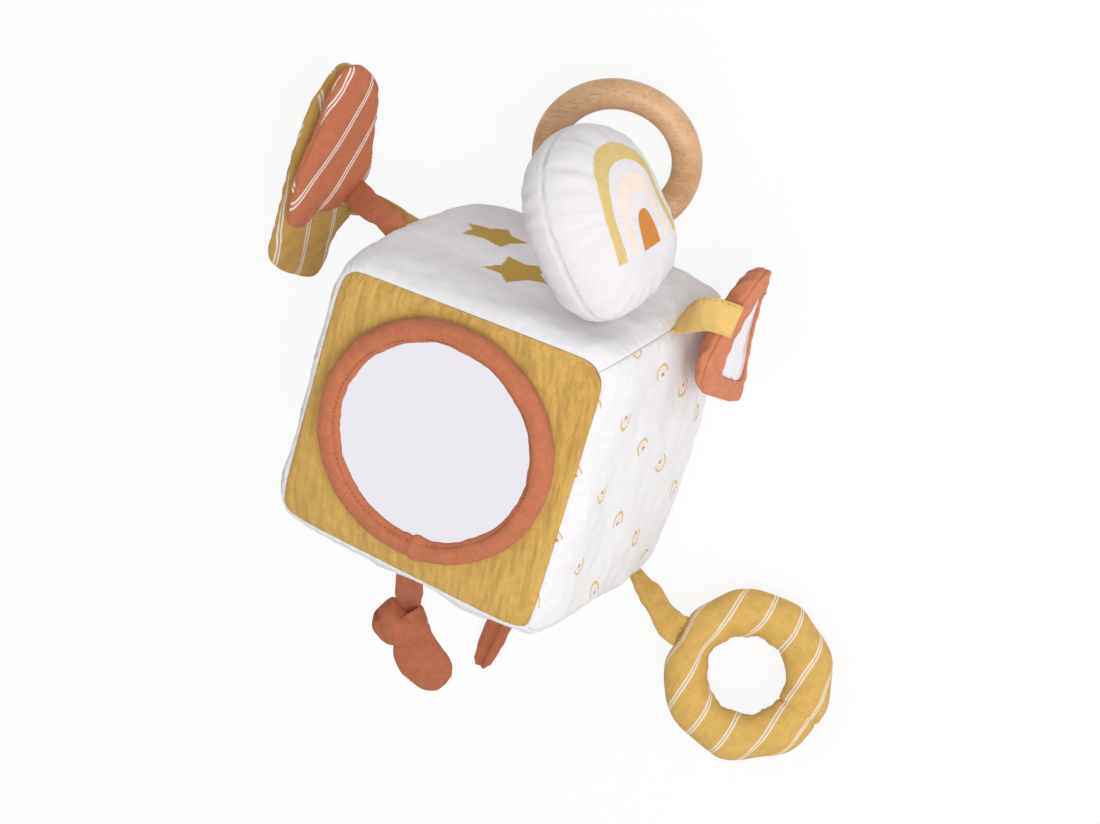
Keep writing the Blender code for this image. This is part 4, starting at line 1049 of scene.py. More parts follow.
@dataclass(frozen=True)
class RoundMirror:
    """The silvered disc and the stuffed clay binding round it."""

    place: tuple[float, float] = MIRROR_PLACE
    seat_height: float = 0.1268
    mean_radius: float = 0.0446
    tube: float = 0.0046
    cover: float = 0.0022
    thickness: float = 0.0052
    oval: float = 0.02
    join_angle: float = math.radians(-86.0)
    stitch_angle: float = math.radians(136.0)

    def ring(self, radius: Array, height: Array, turn: Array) -> Array:
        """Points at a radius and height round the mirror's slightly oval middle."""
        x = radius * np.cos(turn) * (1 + self.oval) + self.place[0]
        y = radius * np.sin(turn) * (1 - self.oval) + self.place[1]
        return grid(x, y, height + self.seat_height)

    def disc(self) -> None:
        """The disc: a flat profile with an eased rim, carried round, with faint waves in its face."""
        rim, eased = self.mean_radius - self.cover, 0.0004
        inner = np.linspace(0.0, rim - eased, 40)
        bend = np.linspace(0.0, math.pi / 2, 5)[1:]
        radius = np.concatenate([inner, rim - eased + eased * np.sin(bend), [rim, rim - 1e-5, 0.0]])
        fall = self.thickness - eased * (1 - np.cos(bend))
        height = np.concatenate([np.full(40, self.thickness), fall, [1e-4, 0.0, 0.0]])
        rows = self.ring(radius[:, None], height[:, None], around(160)[None])
        inside = (np.arange(len(radius)) < 40)[:, None]
        rows[..., 2] -= np.where(inside, 0.00006 * (1 + ripple(rows[..., :2], 0.03, 3)), 0.0)
        silver = Film("mirror film", (0.842, 0.826, 0.874), metallic=1.0, roughness=0.05)
        seat(build("mirror_disc_film", [closed_patch(rows)], [silver.material()]), "block", "mirror_disc")

    def binding(self) -> None:
        """The binding: a soft tube with a stitched channel near its inner edge and a lapped join."""
        steps, section = 300, 44
        turn, lean = around(steps)[:, None], around(section)[None]
        arc = self.mean_radius * ((turn - self.join_angle + math.pi) % TURN - math.pi)
        lap = 0.0007 * near(arc - 0.0022, 0.0030) - 0.0010 * near(arc + 0.0009, 0.0010) * (0.6 + 0.4 * np.sin(lean))
        channel = 0.0007 * near((lean - self.stitch_angle) * self.tube, 0.0007)
        seam = grid(np.cos(turn) * self.mean_radius, np.sin(turn) * self.mean_radius, lean * self.tube)
        uneven = ripple(seam, 0.012, 6) * 0.00022 + ripple(seam, (0.004, 0.004, 0.012), 7) * 0.00009
        tube = self.tube + lap - channel + uneven
        height = self.tube + np.maximum(tube * np.sin(lean), -self.tube + 0.00005)
        rows = self.ring(self.mean_radius + tube * np.cos(lean), height, turn)
        u = np.linspace(0.0, TURN * self.mean_radius, steps + 1)[:, None]
        v = np.linspace(0.0, TURN * self.tube, section + 1)[None]
        patch = closed_patch(wrapped(rows), grid(v, u))
        stuff(build("mirror_binding", [patch], [CLAY_MUSLIN.material()]), "block", 0.8, "mirror_tube_cover")

    def stitching(self) -> None:
        """The row of stitches in the binding's channel, in clay thread that is darker partly by its own dye and partly
        as painted shade.
        """
        turn = np.linspace(0.0, TURN, 400)
        radius = self.mean_radius + (self.tube - 0.00062) * math.cos(self.stitch_angle)
        height = self.tube + (self.tube - 0.00062) * math.sin(self.stitch_angle)
        line = self.ring(np.full_like(turn, radius), np.full_like(turn, height), turn)
        lean = np.cos(turn) * math.cos(self.stitch_angle), np.sin(turn) * math.cos(self.stitch_angle)
        lift = np.stack([*lean, np.full_like(turn, math.sin(self.stitch_angle))], axis=-1)
        patches = Stitches(pitch=0.0021, length=0.0014, radius=0.0002).patches(line, lift)
        seat(build("mirror_stitching", patches, [SHADED_CLAY_STITCHING.material()]), "block")

    def make(self) -> None:
        """Disc, binding and stitches."""
        self.disc()
        self.binding()
        self.stitching()


# Pads sewn from two panels


@dataclass(frozen=True)
class Cushion:
    """A pad of two panels: a dome over an outline on each side of a drawn-in seam.

    A ring at share s of the outline stands at height * (1 - s^power)^(1/2) above the seam.
    """

    outline: Array
    height: float
    power: float
    seam: float
    seam_width: float
    pucker: float
    pucker_length: float
    slack: float
    steps: int = 34
    channel: float = 0.0

    def halves(self, seed: int) -> list[Array]:
        """The front and the back half as own coordinates, each from its middle to the seam."""
        run = run_along(self.outline)
        whole = run[-1] + np.linalg.norm(self.outline[0] - self.outline[-1])
        ring = np.stack([np.cos(run / whole * TURN), np.sin(run / whole * TURN)], axis=-1) * whole / TURN
        shares = np.sin(np.linspace(0.0, math.pi / 2, self.steps + 1))[:, None]
        made = []
        for side, start in ((1, seed), (-1, seed + 5)):
            rise = self.height * np.sqrt(np.maximum(1 - shares**self.power, 0.0)) * np.ones(len(run))
            puckers = ripple(ring, self.pucker_length, start) * np.exp(-(1 - shares) * 9)
            uneven = 1 + 0.35 * ripple(ring, self.pucker_length * 2, seed + 9)
            drawn = self.seam * near(rise, self.seam_width) * uneven
            reach = np.linalg.norm(self.outline, axis=1)
            plan = self.outline[None] * (shares * (1 - drawn / reach))[..., None]
            wrinkled = ripple(plan, self.pucker_length * 4, start + 1) * self.slack * (1 - shares**4)
            lift = rise * (1 + 0.35 * puckers * self.pucker / self.height * 8) + wrinkled * rise / self.height
            edge = (1 - shares) * reach
            if side > 0:
                lift = lift - self.channel * near(edge - 0.0017, 0.0004) * np.clip(plan[..., 0] / 0.004, 0.0, 1.0)
            made.append(np.concatenate([plan, side * lift[..., None]], axis=-1))
        return made


def oval_outline(half_length: float, half_width: float, top: float, base: float, count: int) -> Array:
    """A superellipse, long along y, whose top and base may be more or less square."""
    turn = around(4 * count)
    power = 2 / np.where(np.sin(turn) > 0, top, base)
    x = signed_power(np.cos(turn), power) * half_width
    y = signed_power(np.sin(turn), power) * half_length
    return even_loop(np.stack([x, y], axis=1), count)


def laid_out(half: Array) -> Array:
    """A cushion half's cloth map: each point as far from the middle as the cloth runs there, in its own direction."""
    steps = np.linalg.norm(np.diff(half, axis=0), axis=-1)
    run = np.concatenate([np.zeros((1, half.shape[1])), np.cumsum(steps, axis=0)])
    return unit(half[-1:, :, :2]) * run[..., None]


BACK_SHIFT = 0.0065


def cushion_piece(
    name: str, axes: Axes, halves: Sequence[Array], finishes: Sequence[bpy.types.Material], follow: bool = False
) -> bpy.types.Object:
    """A closed cushion from its two halves, with the second finish on its back.

    Args:
        name: The piece's name.
        axes: Where the cushion lies.
        halves: Its front and back half.
        finishes: Its materials.
        follow: Whether the cloth map follows the dome, or is its plan.

    Returns:
        The piece.
    """
    patches = []
    for number, half in enumerate(halves):
        flat = laid_out(half) + BACK_SHIFT * number if follow else half[..., :2]
        patches.append(closed_patch(axes.place(half), wrapped(flat, 1), min(number, len(finishes) - 1)))
    return build(name, patches, finishes)


@dataclass(frozen=True)
class RainbowPad:
    """The fat white cushion with the printed arches, on its tab."""

    axes: Axes = Axes((0.02802, 0.10230, 0.09933), (-0.57065, 0.79031, 0.22310), (0.82092, 0.54194, 0.17998))
    half_length: float = 0.0366
    half_width: float = 0.0316
    height: float = 0.0222
    root: Place = (0.04778, 0.06539, 0.09012)
    tab_end: Place = (0.04885, 0.07345, 0.09119)
    foot: Place = (0.0400, 0.0646, 0.0855)

    def make(self) -> None:
        """The cushion and the tab."""
        outline = oval_outline(self.half_length, self.half_width, 2.2, 3.4, 200)
        arches = NestedArches(
            (-0.0028, -0.0143),
            (0.0194, 0.0156, 0.0126, 0.0090, 0.0054),
            (0.0425, 0.0350, 0.0295, 0.0225, 0.0152),
            (Dye.PRINT_OCHRE, Dye.GREY_WHITE, Dye.PRINT_PINK, Dye.GREY_WHITE, Dye.PRINT_ORANGE),
            soft=0.02,
            slope=0.07,
            lean=0.05,
        )
        shape = Cushion(outline, self.height, 2.6, 0.0010, 0.0005, 0.0011, 0.0070, 0.0008)
        plain = Muslin("greyish white muslin", Dye.GREY_WHITE, mottle=0.025, wrinkle=0.00025)
        printed = replace(plain, name="white muslin with a rainbow", prints=(arches,))
        finishes = [printed.material(), plain.material()]
        piece = cushion_piece("rainbow_pad_cushion", self.axes, shape.halves(51), finishes)
        stuff(piece, "rainbow_pad", 0.95, "rainbow_pad_front_cloth", "rainbow_pad_back_cloth")
        self.tab()

    def tab(self) -> None:
        """The short tab between the seam of the block and the cushion."""
        root, end = np.array(self.root), np.array(self.tab_end)
        inside = root - (end - root) * 0.3
        above = end + self.axes.turn[1] * 0.003
        across = tuple(-self.axes.turn[0])
        foot, deep = np.array(self.foot), np.array(self.foot) - np.array([0.0010, 0.0040, 0.0])
        tape = Tape(
            (tuple(deep), self.foot, tuple((foot + end) / 2), self.tab_end, tuple(above)),
            ((0.0, 0.0, 1.0), (0.0, 0.0, 1.0), (0.0, 0.0, 1.0), across, across),
            (0.0055, 0.0055, 0.0065),
            0.0020,
        )
        piece = build("rainbow_pad_tab_cloth", [tape.patch(57)], [WHITE_MUSLIN.material()])
        join(piece, "rainbow_pad", inside, end, "rainbow_pad_tab")


@dataclass(frozen=True)
class Leaf:
    """A flat padded leaf with twin lines on it, on its strap."""

    name: str
    dye: Dye
    length: float
    place: Place
    shares: tuple[tuple[float, float], ...]
    line_angle: float
    line_start: float
    root: Place
    strap: tuple[Place, ...]
    strap_sides: tuple[Place, ...]
    strap_widths: tuple[float, ...]
    seed: int
    up: Place = (0.0815, 0.9896, 0.1183)
    out: Place = (0.921, -0.120, 0.369)

    def make(self) -> None:
        """The leaf's cushion and strap."""
        outline = even_outline(np.array(self.shares) * self.length, 260)
        shape = Cushion(outline, 0.0046, 5.0, 0.0004, 0.0007, 0.0003, 0.0075, 0.0006, steps=52, channel=0.0008)
        lines = Muslin(
            f"{self.name} muslin with lines", self.dye, prints=(TwinLines(self.line_angle, start=self.line_start),)
        )
        axes = Axes(self.place, self.up, self.out)
        finish = lines.material()
        piece = cushion_piece(f"{self.name}_cushion", axes, shape.halves(self.seed), [finish], follow=True)
        stuff(piece, self.name, 0.35, f"{self.name}_front_cloth", f"{self.name}_back_cloth")
        self.tape()

    def tape(self) -> None:
        """The strap from the block's seam to the leaf's edge."""
        tape = Tape(self.strap, self.strap_sides, self.strap_widths, 0.0026, crease=0.0005)
        plain = Muslin(f"{self.name} muslin strap", self.dye)
        piece = build(f"{self.name}_strap_cloth", [tape.patch(self.seed + 3)], [plain.material()])
        hang(piece, self.name, np.array(self.strap[0]), np.array(self.root), f"{self.name}_strap")


RIBBON_PATH = (
    (0.0570, 0.0590, 0.0628), (0.0594, 0.0628, 0.0618), (0.0636, 0.0672, 0.0642), (0.0688, 0.0719, 0.0678),
    (0.0736, 0.0742, 0.0686), (0.0787, 0.0745, 0.0674), (0.0822, 0.0738, 0.0648), (0.0812, 0.0724, 0.0604),
    (0.0800, 0.0708, 0.0560),
)
RIBBON_SIDES = (
    (-0.05, 0.30, -0.95), (-0.10, 0.42, -0.90), (-0.28, 0.72, -0.63), (-0.42, 0.86, -0.30), (-0.40, 0.88, -0.24),
    (-0.30, 0.90, -0.27), (-0.02, 0.92, -0.38), (0.05, 0.92, -0.36), (0.05, 0.92, -0.36),
)
RIBBON_WIDTHS = (0.0120, 0.0120, 0.0125, 0.0130, 0.0134, 0.0134, 0.0134, 0.0132, 0.0128)
FRAMED_NODES = ("framed_pad_border", "framed_pad_back_cloth", "framed_pad_filling")


@dataclass(frozen=True)
class FramedPad:
    """The small clay pad: a border round a window of film, on an ochre ribbon."""

    axes: Axes = Axes((0.0776, 0.0618, 0.0394), (-0.04717, 0.95122, -0.30488), (0.99565, 0.02022, -0.09097))
    half_length: float = 0.0277
    half_width: float = 0.0237
    height: float = 0.0056
    depth: float = 0.0076
    bow: float = 0.0030
    window: float = 0.66
    twist: float = math.radians(-14.0)
    root: Place = (0.06031, 0.06264, 0.06119)

    def turned(self, points: Array) -> Array:
        """Own coordinates twisted about the pad's long way and bowed: the window looks up more at the near end."""
        angle = -self.twist * points[..., 1] / self.half_length
        x, y, z = np.moveaxis(points, -1, 0)
        z = z + self.bow * ((y / self.half_length) ** 2 - 0.5)
        return np.stack([x * np.cos(angle) + z * np.sin(angle), y, z * np.cos(angle) - x * np.sin(angle)], axis=-1)

    def rings(self, shares: Array, outline: Array, height: float, side: int) -> Array:
        """Rings of one half at shares of the outline."""
        rise = height * np.sqrt(np.maximum(1 - shares**3.2, 0.0))
        plan = outline[None] * shares[:, None, None]
        return np.concatenate([plan, side * np.broadcast_to(rise[:, None, None], (*plan.shape[:2], 1))], axis=-1)

    def border(self, outline: Array) -> list[Array]:
        """The border from the window's edge over the front, the rim and the back to its middle."""
        lip = self.rings(np.array([self.window + 0.05, self.window + 0.015]), outline, self.height - 0.0018, 1)
        lip[1, :, 2] = lip[0, :, 2] + 0.0004
        roll = self.rings(np.array([self.window]), outline, self.height - 0.0010, 1)
        shares = np.sin(np.linspace(math.asin(self.window + 0.02), math.pi / 2, 20))
        front = self.rings(shares, outline, self.height, 1)
        back = self.rings(np.sin(np.linspace(0.0, math.pi / 2, 30)), outline, self.depth, -1)
        made = []
        for half, seed in ((np.concatenate([lip, roll, front]), 71), (back, 72)):
            rim = near(half[..., 2], 0.0007)
            reach = np.linalg.norm(half[..., :2], axis=-1, keepdims=True)
            drawn = rim * (0.0011 + 0.0002 * ripple(half[..., :2], 0.006, 73))
            pleats = ripple(half[..., :2], 0.0065, seed) * 0.00042 * np.clip(reach[..., 0] / 0.02, 0.0, 1.0)
            half[..., :2] *= 1 - drawn[..., None] / np.maximum(reach, 1e-6)
            half[..., 2] += np.sign(half[..., 2]) * pleats * (1 - rim)
            made.append(half)
        return made

    def make(self) -> None:
        """The pad's cloth, the window, the stitches and the ribbon."""
        outline = oval_outline(self.half_length, self.half_width, 4.5, 4.5, 190)
        clay = PALE_CLAY_MUSLIN.material()
        halves = self.border(outline)
        patches = []
        under = self.rings(np.array([0.0, 0.4, self.window + 0.05]), outline, self.height, 1)
        under[..., 2] = halves[0][0, :, 2].mean()
        under[-1] = halves[0][0]
        for part in (*halves, under):
            patches.append(closed_patch(self.axes.place(self.turned(part)), wrapped(part, 1)[..., :2]))
        stuff(build("framed_pad_cloth", patches, [clay]), "framed_pad", 0.6, *FRAMED_NODES)
        self.glass(outline, float(under[0, 0, 2]))
        self.ribbon()

    def glass(self, outline: Array, level: float) -> None:
        """The window film: a thin bowed sheet whose edge lies under the border's lip."""
        shares = np.linspace(0.0, self.window + 0.045, 24)
        plan = outline[None] * shares[:, None, None]
        bow = 0.0003 * (1 - (shares / shares[-1]) ** 2)[:, None] + 0.00012 * ripple(plan, 0.014, 81)
        top = np.concatenate([plan, (level + 0.0004 + np.maximum(bow, 0.0))[..., None]], axis=-1)
        base = top[::-1].copy()
        base[..., 2] -= 0.0003
        rows = self.axes.place(self.turned(np.concatenate([top, base])))
        film = Film("window film", (0.76, 0.745, 0.77), roughness=0.12, wave=0.0002, wave_scale=90.0)
        piece = build("framed_pad_window_film", [closed_patch(rows)], [film.material()])
        seat(piece, "framed_pad", "framed_pad_window")
        share = self.window + 0.055
        line = wrapped(outline) * share
        tall = self.height * math.sqrt(1 - share**3.2) - 0.0002
        line = np.concatenate([line, np.full((len(line), 1), tall)], axis=-1)
        line = self.axes.place(self.turned(line))
        lift = np.broadcast_to(self.axes.turn[2], line.shape)
        patches = Stitches(pitch=0.0026, length=0.0015, radius=0.0002).patches(line, lift)
        seat(build("framed_pad_stitching", patches, [STEEL_STITCHING.material()]), "framed_pad")

    def ribbon(self) -> None:
        """The ribbon: it rises from the corner seam, bows over and ends at the pad's upper edge."""
        root = np.array(self.root)
        inside = root - unit(np.array([0.7, 0.7, 0.0])) * 0.004
        patch = Tape(RIBBON_PATH, RIBBON_SIDES, RIBBON_WIDTHS, 0.0013, crease=0.0001, square=0.35).patch(84)
        ribbon = Muslin("ochre ribbon", Dye.PALE_OCHRE, thread=0.0006).material()
        piece = build("framed_pad_ribbon_cloth", [patch], [ribbon])
        hang(piece, "framed_pad", inside, root, "framed_pad_ribbon")
        rows = patch.points[16:-30, :-1]
        column = 6
        stitches = Stitches(pitch=0.0026, length=0.0013, radius=0.00018)
        threads = stitches.patches(rows[:, column], outward(rows)[:, column])
        threads = build("framed_pad_ribbon_stitching", threads, [Thread("ochre thread", Dye.PRINT_GOLD).material()])
        hang(threads, "framed_pad", inside, root)


# The rings


def torus_rows(radius: float, tube: Array | float, turn: Array, lean: Array) -> Array:
    """A ring's points: the tube's radius round a circle, at turns about the ring and leans about the tube."""
    wide = radius + tube * np.cos(lean)
    return grid(wide * np.cos(turn), wide * np.sin(turn), tube * np.sin(lean))


@dataclass(frozen=True)
class WoodenRing:
    """The beech ring and the white loop that holds it."""

    axes: Axes = Axes((0.0, 0.10264, 0.01679), (0.0, 1.0, 0.0), (0.30483, -0.1839, 0.93448))
    radius: float = 0.02875
    section: float = 0.00625
    root: Place = (-0.00363, 0.06259, 0.00314)
    loop_width: float = 0.0120
    loop_thickness: float = 0.0014

    def make(self) -> None:
        """The turned ring and its loop."""
        rows = torus_rows(self.radius, self.section, around(200)[:, None], around(48)[None])
        patch = closed_patch(wrapped(self.axes.place(rows)))
        seat(build("wooden_ring_beech", [patch], [Beech().material()]), "wooden_ring", "wooden_ring")
        self.loop()

    def loop(self) -> None:
        """The loop: from the back seam round the ring's near side and back onto itself."""
        across, up, out = self.axes.turn
        toward = -up
        bow = (self.loop_width / 2) ** 2 / (2 * self.radius)
        clear = self.section + 0.0009 + bow / 2 + self.loop_thickness / 2
        centre, root = np.array(self.axes.origin), np.array(self.root)
        middle = centre + toward * (self.radius - bow / 2)
        turns = np.radians(np.arange(60, 351, 20))[:, None]
        ring = middle + toward * clear * np.cos(turns) - out * clear * np.sin(turns)
        neck = middle + toward * (clear + 0.0005)
        level = (root - neck) @ -out + self.loop_thickness
        first = neck - out * level
        last = middle + toward * clear - out * (level - self.loop_thickness / 2 - 0.0006)
        inside, lead = root - np.array([0.0, 0.003, 0.0]), root + np.array([0.0, 0.002, 0.0])
        points = [tuple(point) for point in (inside, root, lead, first, *ring, last)]
        side = [(1.0, 0.0, 0.0)] * 3 + [tuple(across)] * (len(points) - 3)
        tape = Tape(tuple(points), tuple(side), (self.loop_width,) * 2, self.loop_thickness, crease=0.0001, steps=8)
        piece = build("wood_loop_cloth", [tape.patch(91)], [WHITE_MUSLIN.material()])
        join(piece, "wood_loop", root, root + np.array([0.0, 0.008, 0.0]), "wood_loop")


@dataclass(frozen=True)
class StuffedRing:
    """The ochre ring of lined cloth on its folded strap."""

    axes: Axes = Axes((0.1214, -0.0805, 0.0220), (-0.96499, 0.22999, 0.12606), (0.21305, 0.40709, 0.88819))
    radius: float = 0.0256
    tube: float = 0.0097
    puckers: int = 9
    join_angle: float = 4.66
    root: Place = (0.05996, -0.06409, 0.01144)

    def make(self) -> None:
        """The ring's two rings of cloth as one stuffed tube, and the strap."""
        turn, lean = around(320)[:, None], around(64)[None]
        flat = np.stack([np.cos(turn[:, 0]), np.sin(turn[:, 0])], axis=-1) * self.radius
        lumps = ripple(flat, 0.015, 101)[:, None] * 0.040 + 0.030 * np.cos(self.puckers * turn + 0.4)
        lumps = lumps - 0.26 * near(self.radius * (turn - math.pi / 2), 0.0120)
        outer = np.clip(np.cos(lean), 0.0, 1.0)
        seams = near(np.sin(lean / 2) * 2 * self.tube, 0.0008) + 0.7 * near(np.cos(lean / 2) * 2 * self.tube, 0.0008)
        spots = grid(flat[:, None, 0], flat[:, None, 1], lean * self.tube)
        fine = ripple(spots, (0.009, 0.009, 0.02), 102) * 0.00012
        gathers = ripple(np.concatenate([flat, flat], axis=-1), 0.006, 103)[:, None] * 0.00022
        gathers = gathers * np.clip(-np.cos(lean), 0.0, 1.0) ** 2
        join = 0.0009 * near(self.radius * ((turn - self.join_angle + math.pi) % TURN - math.pi), 0.0006)
        tube = self.tube * (1 + lumps * (0.5 + 0.5 * outer)) - 0.0008 * seams + fine + gathers - join
        rows = wrapped(torus_rows(self.radius, tube, turn, lean))
        cloth = wrapped(rows, 1)
        rolled = np.concatenate([lean, lean[:, :1] + TURN], axis=1)
        rolled = self.tube * (math.pi / 2 - np.minimum(rolled, TURN - rolled))
        reach = np.linalg.norm(cloth[..., :2], axis=-1)
        cloth[..., :2] *= ((self.radius + rolled) / reach)[..., None]
        cloth[..., 1] += 0.28 * self.tube * np.cos(rolled / self.tube)
        patch = closed_patch(self.axes.place(rows), cloth[..., :2])
        lined = Muslin("ochre muslin with lines", Dye.OCHRE, prints=(TwinLines(math.radians(90.0), start=0.0024),))
        piece = build("soft_ring_cushion", [patch], [lined.material()])
        stuff(piece, "soft_ring", 0.9, "soft_ring_upper_cloth", "soft_ring_lower_cloth", "soft_ring_filling")
        self.strap()

    def strap(self) -> None:
        """The strap: narrow at the corner, twisted and folded, and wide where it is sewn to the ring."""
        across, up, _ = self.axes.turn
        end = np.array(self.axes.origin) + up * (self.radius + self.tube * 0.66)
        approach = end + up * 0.0055
        root = np.array(self.root)
        inside = root - unit(np.array([1.0, -1.0, -0.3])) * 0.004
        middle = (root + approach) / 2 + np.array([0.0, 0.0, 0.0006])
        above, side = np.array([0.0, 0.0, 1.0]), across * math.copysign(1.0, across[2])
        points = tuple(tuple(point) for point in (inside, root, middle, approach, end))
        sides = tuple(tuple(way) for way in (above, above, (above + side) / 2, side, side))
        tape = Tape(points, sides, (0.006, 0.0065, 0.0098, 0.0128, 0.0132), 0.0036, crease=0.0012)
        piece = build("soft_ring_strap_cloth", [tape.patch(105)], [OCHRE_MUSLIN.material()])
        hang(piece, "soft_ring", inside, root, "soft_ring_strap")


# The tail and the tag


KNOT_OUTLINE = (
    (-0.0009, 0.0098), (-0.0033, 0.0090), (-0.0061, 0.0065), (-0.0089, 0.0033), (-0.0097, -0.0019), (-0.0081, -0.0051),
    (-0.0037, -0.0091), (0.0016, -0.0097), (0.0076, -0.0083), (0.0112, -0.0051), (0.0128, -0.0011), (0.0120, 0.0029),
    (0.0100, 0.0066), (0.0068, 0.0039), (0.0036, 0.0049), (0.0012, 0.0078),
)
KNOT_CREASES = (
    (0.0010, ((-0.0072, 0.0046), (-0.0064, 0.0010), (-0.0062, -0.0030), (-0.0040, -0.0076)), 0.0008),
    (0.0007, ((0.0098, 0.0060), (0.0112, 0.0005), (0.0095, -0.0060)), 0.0011),
    (0.0008, ((-0.0020, 0.0080), (0.0010, 0.0050), (0.0060, 0.0010), (0.0105, 0.0025)), 0.0016),
    (0.0040, ((-0.0080, 0.0036), (-0.0076, 0.0020)), 0.0011),
)
SPOON_OUTLINE = (
    (0.0105, 0.0137), (0.0097, 0.0096), (0.0095, 0.0048), (0.0096, -0.0018), (0.0097, -0.0076), (0.0085, -0.0122),
    (0.0054, -0.0158), (0.0010, -0.0177), (-0.0037, -0.0164), (-0.0073, -0.0122), (-0.0092, -0.0051), (-0.0103, 0.0001),
    (-0.0096, 0.0058), (-0.0080, 0.0105), (-0.0051, 0.0142), (-0.0007, 0.0161), (0.0035, 0.0169), (0.0082, 0.0167),
)


def groove(points: Array, line: Sequence[tuple[float, float]], reach: float) -> Array:
    """1 on a rounded line drawn over a pad's plan, falling to 0 over about the reach."""
    drawn = rounded_line([(x, y, 0.0) for x, y in line], 10)[:, :2]
    distance = np.linalg.norm(points[..., None, :2] - drawn, axis=-1).min(axis=-1)
    return near(distance, reach)


@dataclass(frozen=True)
class KnottedTail:
    """A tape of clay cloth with a knot in it and a spoon-shaped padded end."""

    root: Place = (0.00425, -0.05862, 0.12373)
    behind: Place = (-0.0006, -0.0769, 0.1031)
    knot: Axes = Axes((-0.00255, -0.08482, 0.10603), (-0.38139, 0.89702, -0.22336), (0.3035, 0.34974, 0.88632))
    spoon: Axes = Axes((0.00815, -0.10102, 0.09443), (-0.4731, 0.7163, 0.5129), (0.7115, -0.0327, 0.7020))

    def make(self) -> None:
        """The tape down to the knot, the knot and the end."""
        # painted shade: the tail, knot and end get clay darkened for the block's shade
        clay = SHADED_CLAY_MUSLIN.material()
        root, behind = np.array(self.root), np.array(self.behind)
        lead = unit(behind - root)
        inside = root + np.array([0.0, 0.0030, -0.0045])
        hem, deep = (0.0020, -0.0579, 0.1178), (0.0020, -0.0530, 0.1163)
        right, flat = (1.0, 0.0, 0.0), (0.90, 0.25, -0.36)
        tape = Tape(
            (deep, hem, (0.0010, -0.0670, 0.1112), self.behind, (0.0000, -0.0822, 0.1028)),
            (right, right, flat, flat, flat),
            (0.0116, 0.0116, 0.0112, 0.0100, 0.0098),
            0.0034,
            crease=0.0005,
        )
        piece = build("knotted_tail_tape", [tape.patch(111)], [clay])
        join(piece, "knotted_tail", inside, root + lead * 0.006, "knotted_tail")
        self.knot_piece(clay)
        self.end_piece(clay)

    def knot_piece(self, clay: bpy.types.Material) -> None:
        """The knot: one fat fold round the tape, with a hollow at its left and soft creases over it."""
        outline = even_outline(np.array(KNOT_OUTLINE), 220)
        shape = Cushion(outline, 0.0086, 2.0, 0.0, 0.0010, 0.0006, 0.0060, 0.0006, steps=46)
        halves = shape.halves(112)
        front = halves[0]
        creases = sum(depth * groove(front, line, reach) for depth, line, reach in KNOT_CREASES)
        front[..., 2] -= creases * np.clip(front[..., 2] / 0.003, 0.0, 1.0)
        piece = cushion_piece("knotted_tail_knot", self.knot, halves, [clay])
        stuff(piece, "knotted_tail", 0.7)

    def end_piece(self, clay: bpy.types.Material) -> None:
        """The spoon-shaped end: a flat padded pouch with a seam round its edge, gathered into the knot."""
        outline = even_outline(np.array(SPOON_OUTLINE), 220)
        shape = Cushion(outline, 0.0042, 3.0, 0.0004, 0.0007, 0.0004, 0.0060, 0.0007, steps=40)
        halves = shape.halves(114)
        front = halves[0]
        for share in (0.0022, 0.0058):
            folds = ((share, 0.0165), (share - 0.0002, 0.0110), (share - 0.0012, 0.0062))
            front[..., 2] -= 0.0008 * groove(front, folds, 0.0009) * np.clip((front[..., 1] - 0.004) / 0.006, 0.0, 1.0)
        piece = cushion_piece("knotted_tail_end", self.spoon, halves, [clay])
        stuff(piece, "knotted_tail", 0.5)


@dataclass(frozen=True)
class TailTag:
    """The folded tag: a tape laid double, with the fold at its far end, lying on the floor."""

    root: Place = (0.01161, -0.0638, 0.00313)
    end: tuple[float, float] = (0.0021, -0.1384)
    width: float = 0.0112
    thickness: float = 0.0054

    def make(self) -> None:
        """The two layers show as a groove along the middle of the tag."""
        root = np.array(self.root)
        level = self.thickness / 2 + 0.0004
        end = np.array([*self.end, level])
        inside = root + np.array([0.0, 0.003, 0.0])
        low = root * (0.65, 0.65, 0.0) + end * (0.35, 0.35, 0.0) + np.array([0.0, 0.0, level])
        far = root * (0.3, 0.3, 0.0) + end * (0.7, 0.7, 0.0) + np.array([0.0, 0.0, level])
        points = tuple(tuple(point) for point in (inside, root, low, far, end))
        line = rounded_line(points, 16)
        line[:, 2] = np.maximum(line[:, 2], 0.0012)
        count = len(line)
        share = np.linspace(0.0, 1.0, count)
        tip = np.sqrt(np.clip((1 - share) / 0.030, 0.30, 1.0))
        narrow = 1 - 0.34 * np.clip((share - 0.84) / 0.16, 0.0, 1.0)
        widths = self.width * tip * narrow
        thick = np.interp(share, [0.0, 0.3, 0.5, 1.0], [0.0022, 0.0024, self.thickness, self.thickness]) * tip
        sides = np.broadcast_to(np.array([1.0, 0.0, 0.0]), (count, 3))
        rows = tape_points(line, sides, widths, thick, 56, 0.75)
        across, above = np.cos(around(56)) * widths[:, None] / 2, np.clip(np.sin(around(56)), 0.0, 1.0)
        folded = near(across, 0.0009) * above * 0.0018
        gathers = ripple(line[:, 1:2], 0.0034, 122)[:, None] * near(across, 0.0030)
        waves = ripple(rows, 0.010, 121) * 0.0003 + gathers * above * 0.0004
        rows = rows + outward(rows) * (waves - folded)[..., None]
        rows[..., 2] = np.maximum(rows[..., 2], 0.0001)
        patch = closed_patch(capped(rows), tape_map(line, widths, 56))
        # painted shade: the tag gets clay darkened for the block's shade
        piece = build("tail_tag_cloth", [patch], [SHADED_CLAY_MUSLIN.material()])
        join(piece, "tail_tag", inside, root - np.array([0.0, 0.006, 0.0]), "tail_tag")


# What is inside


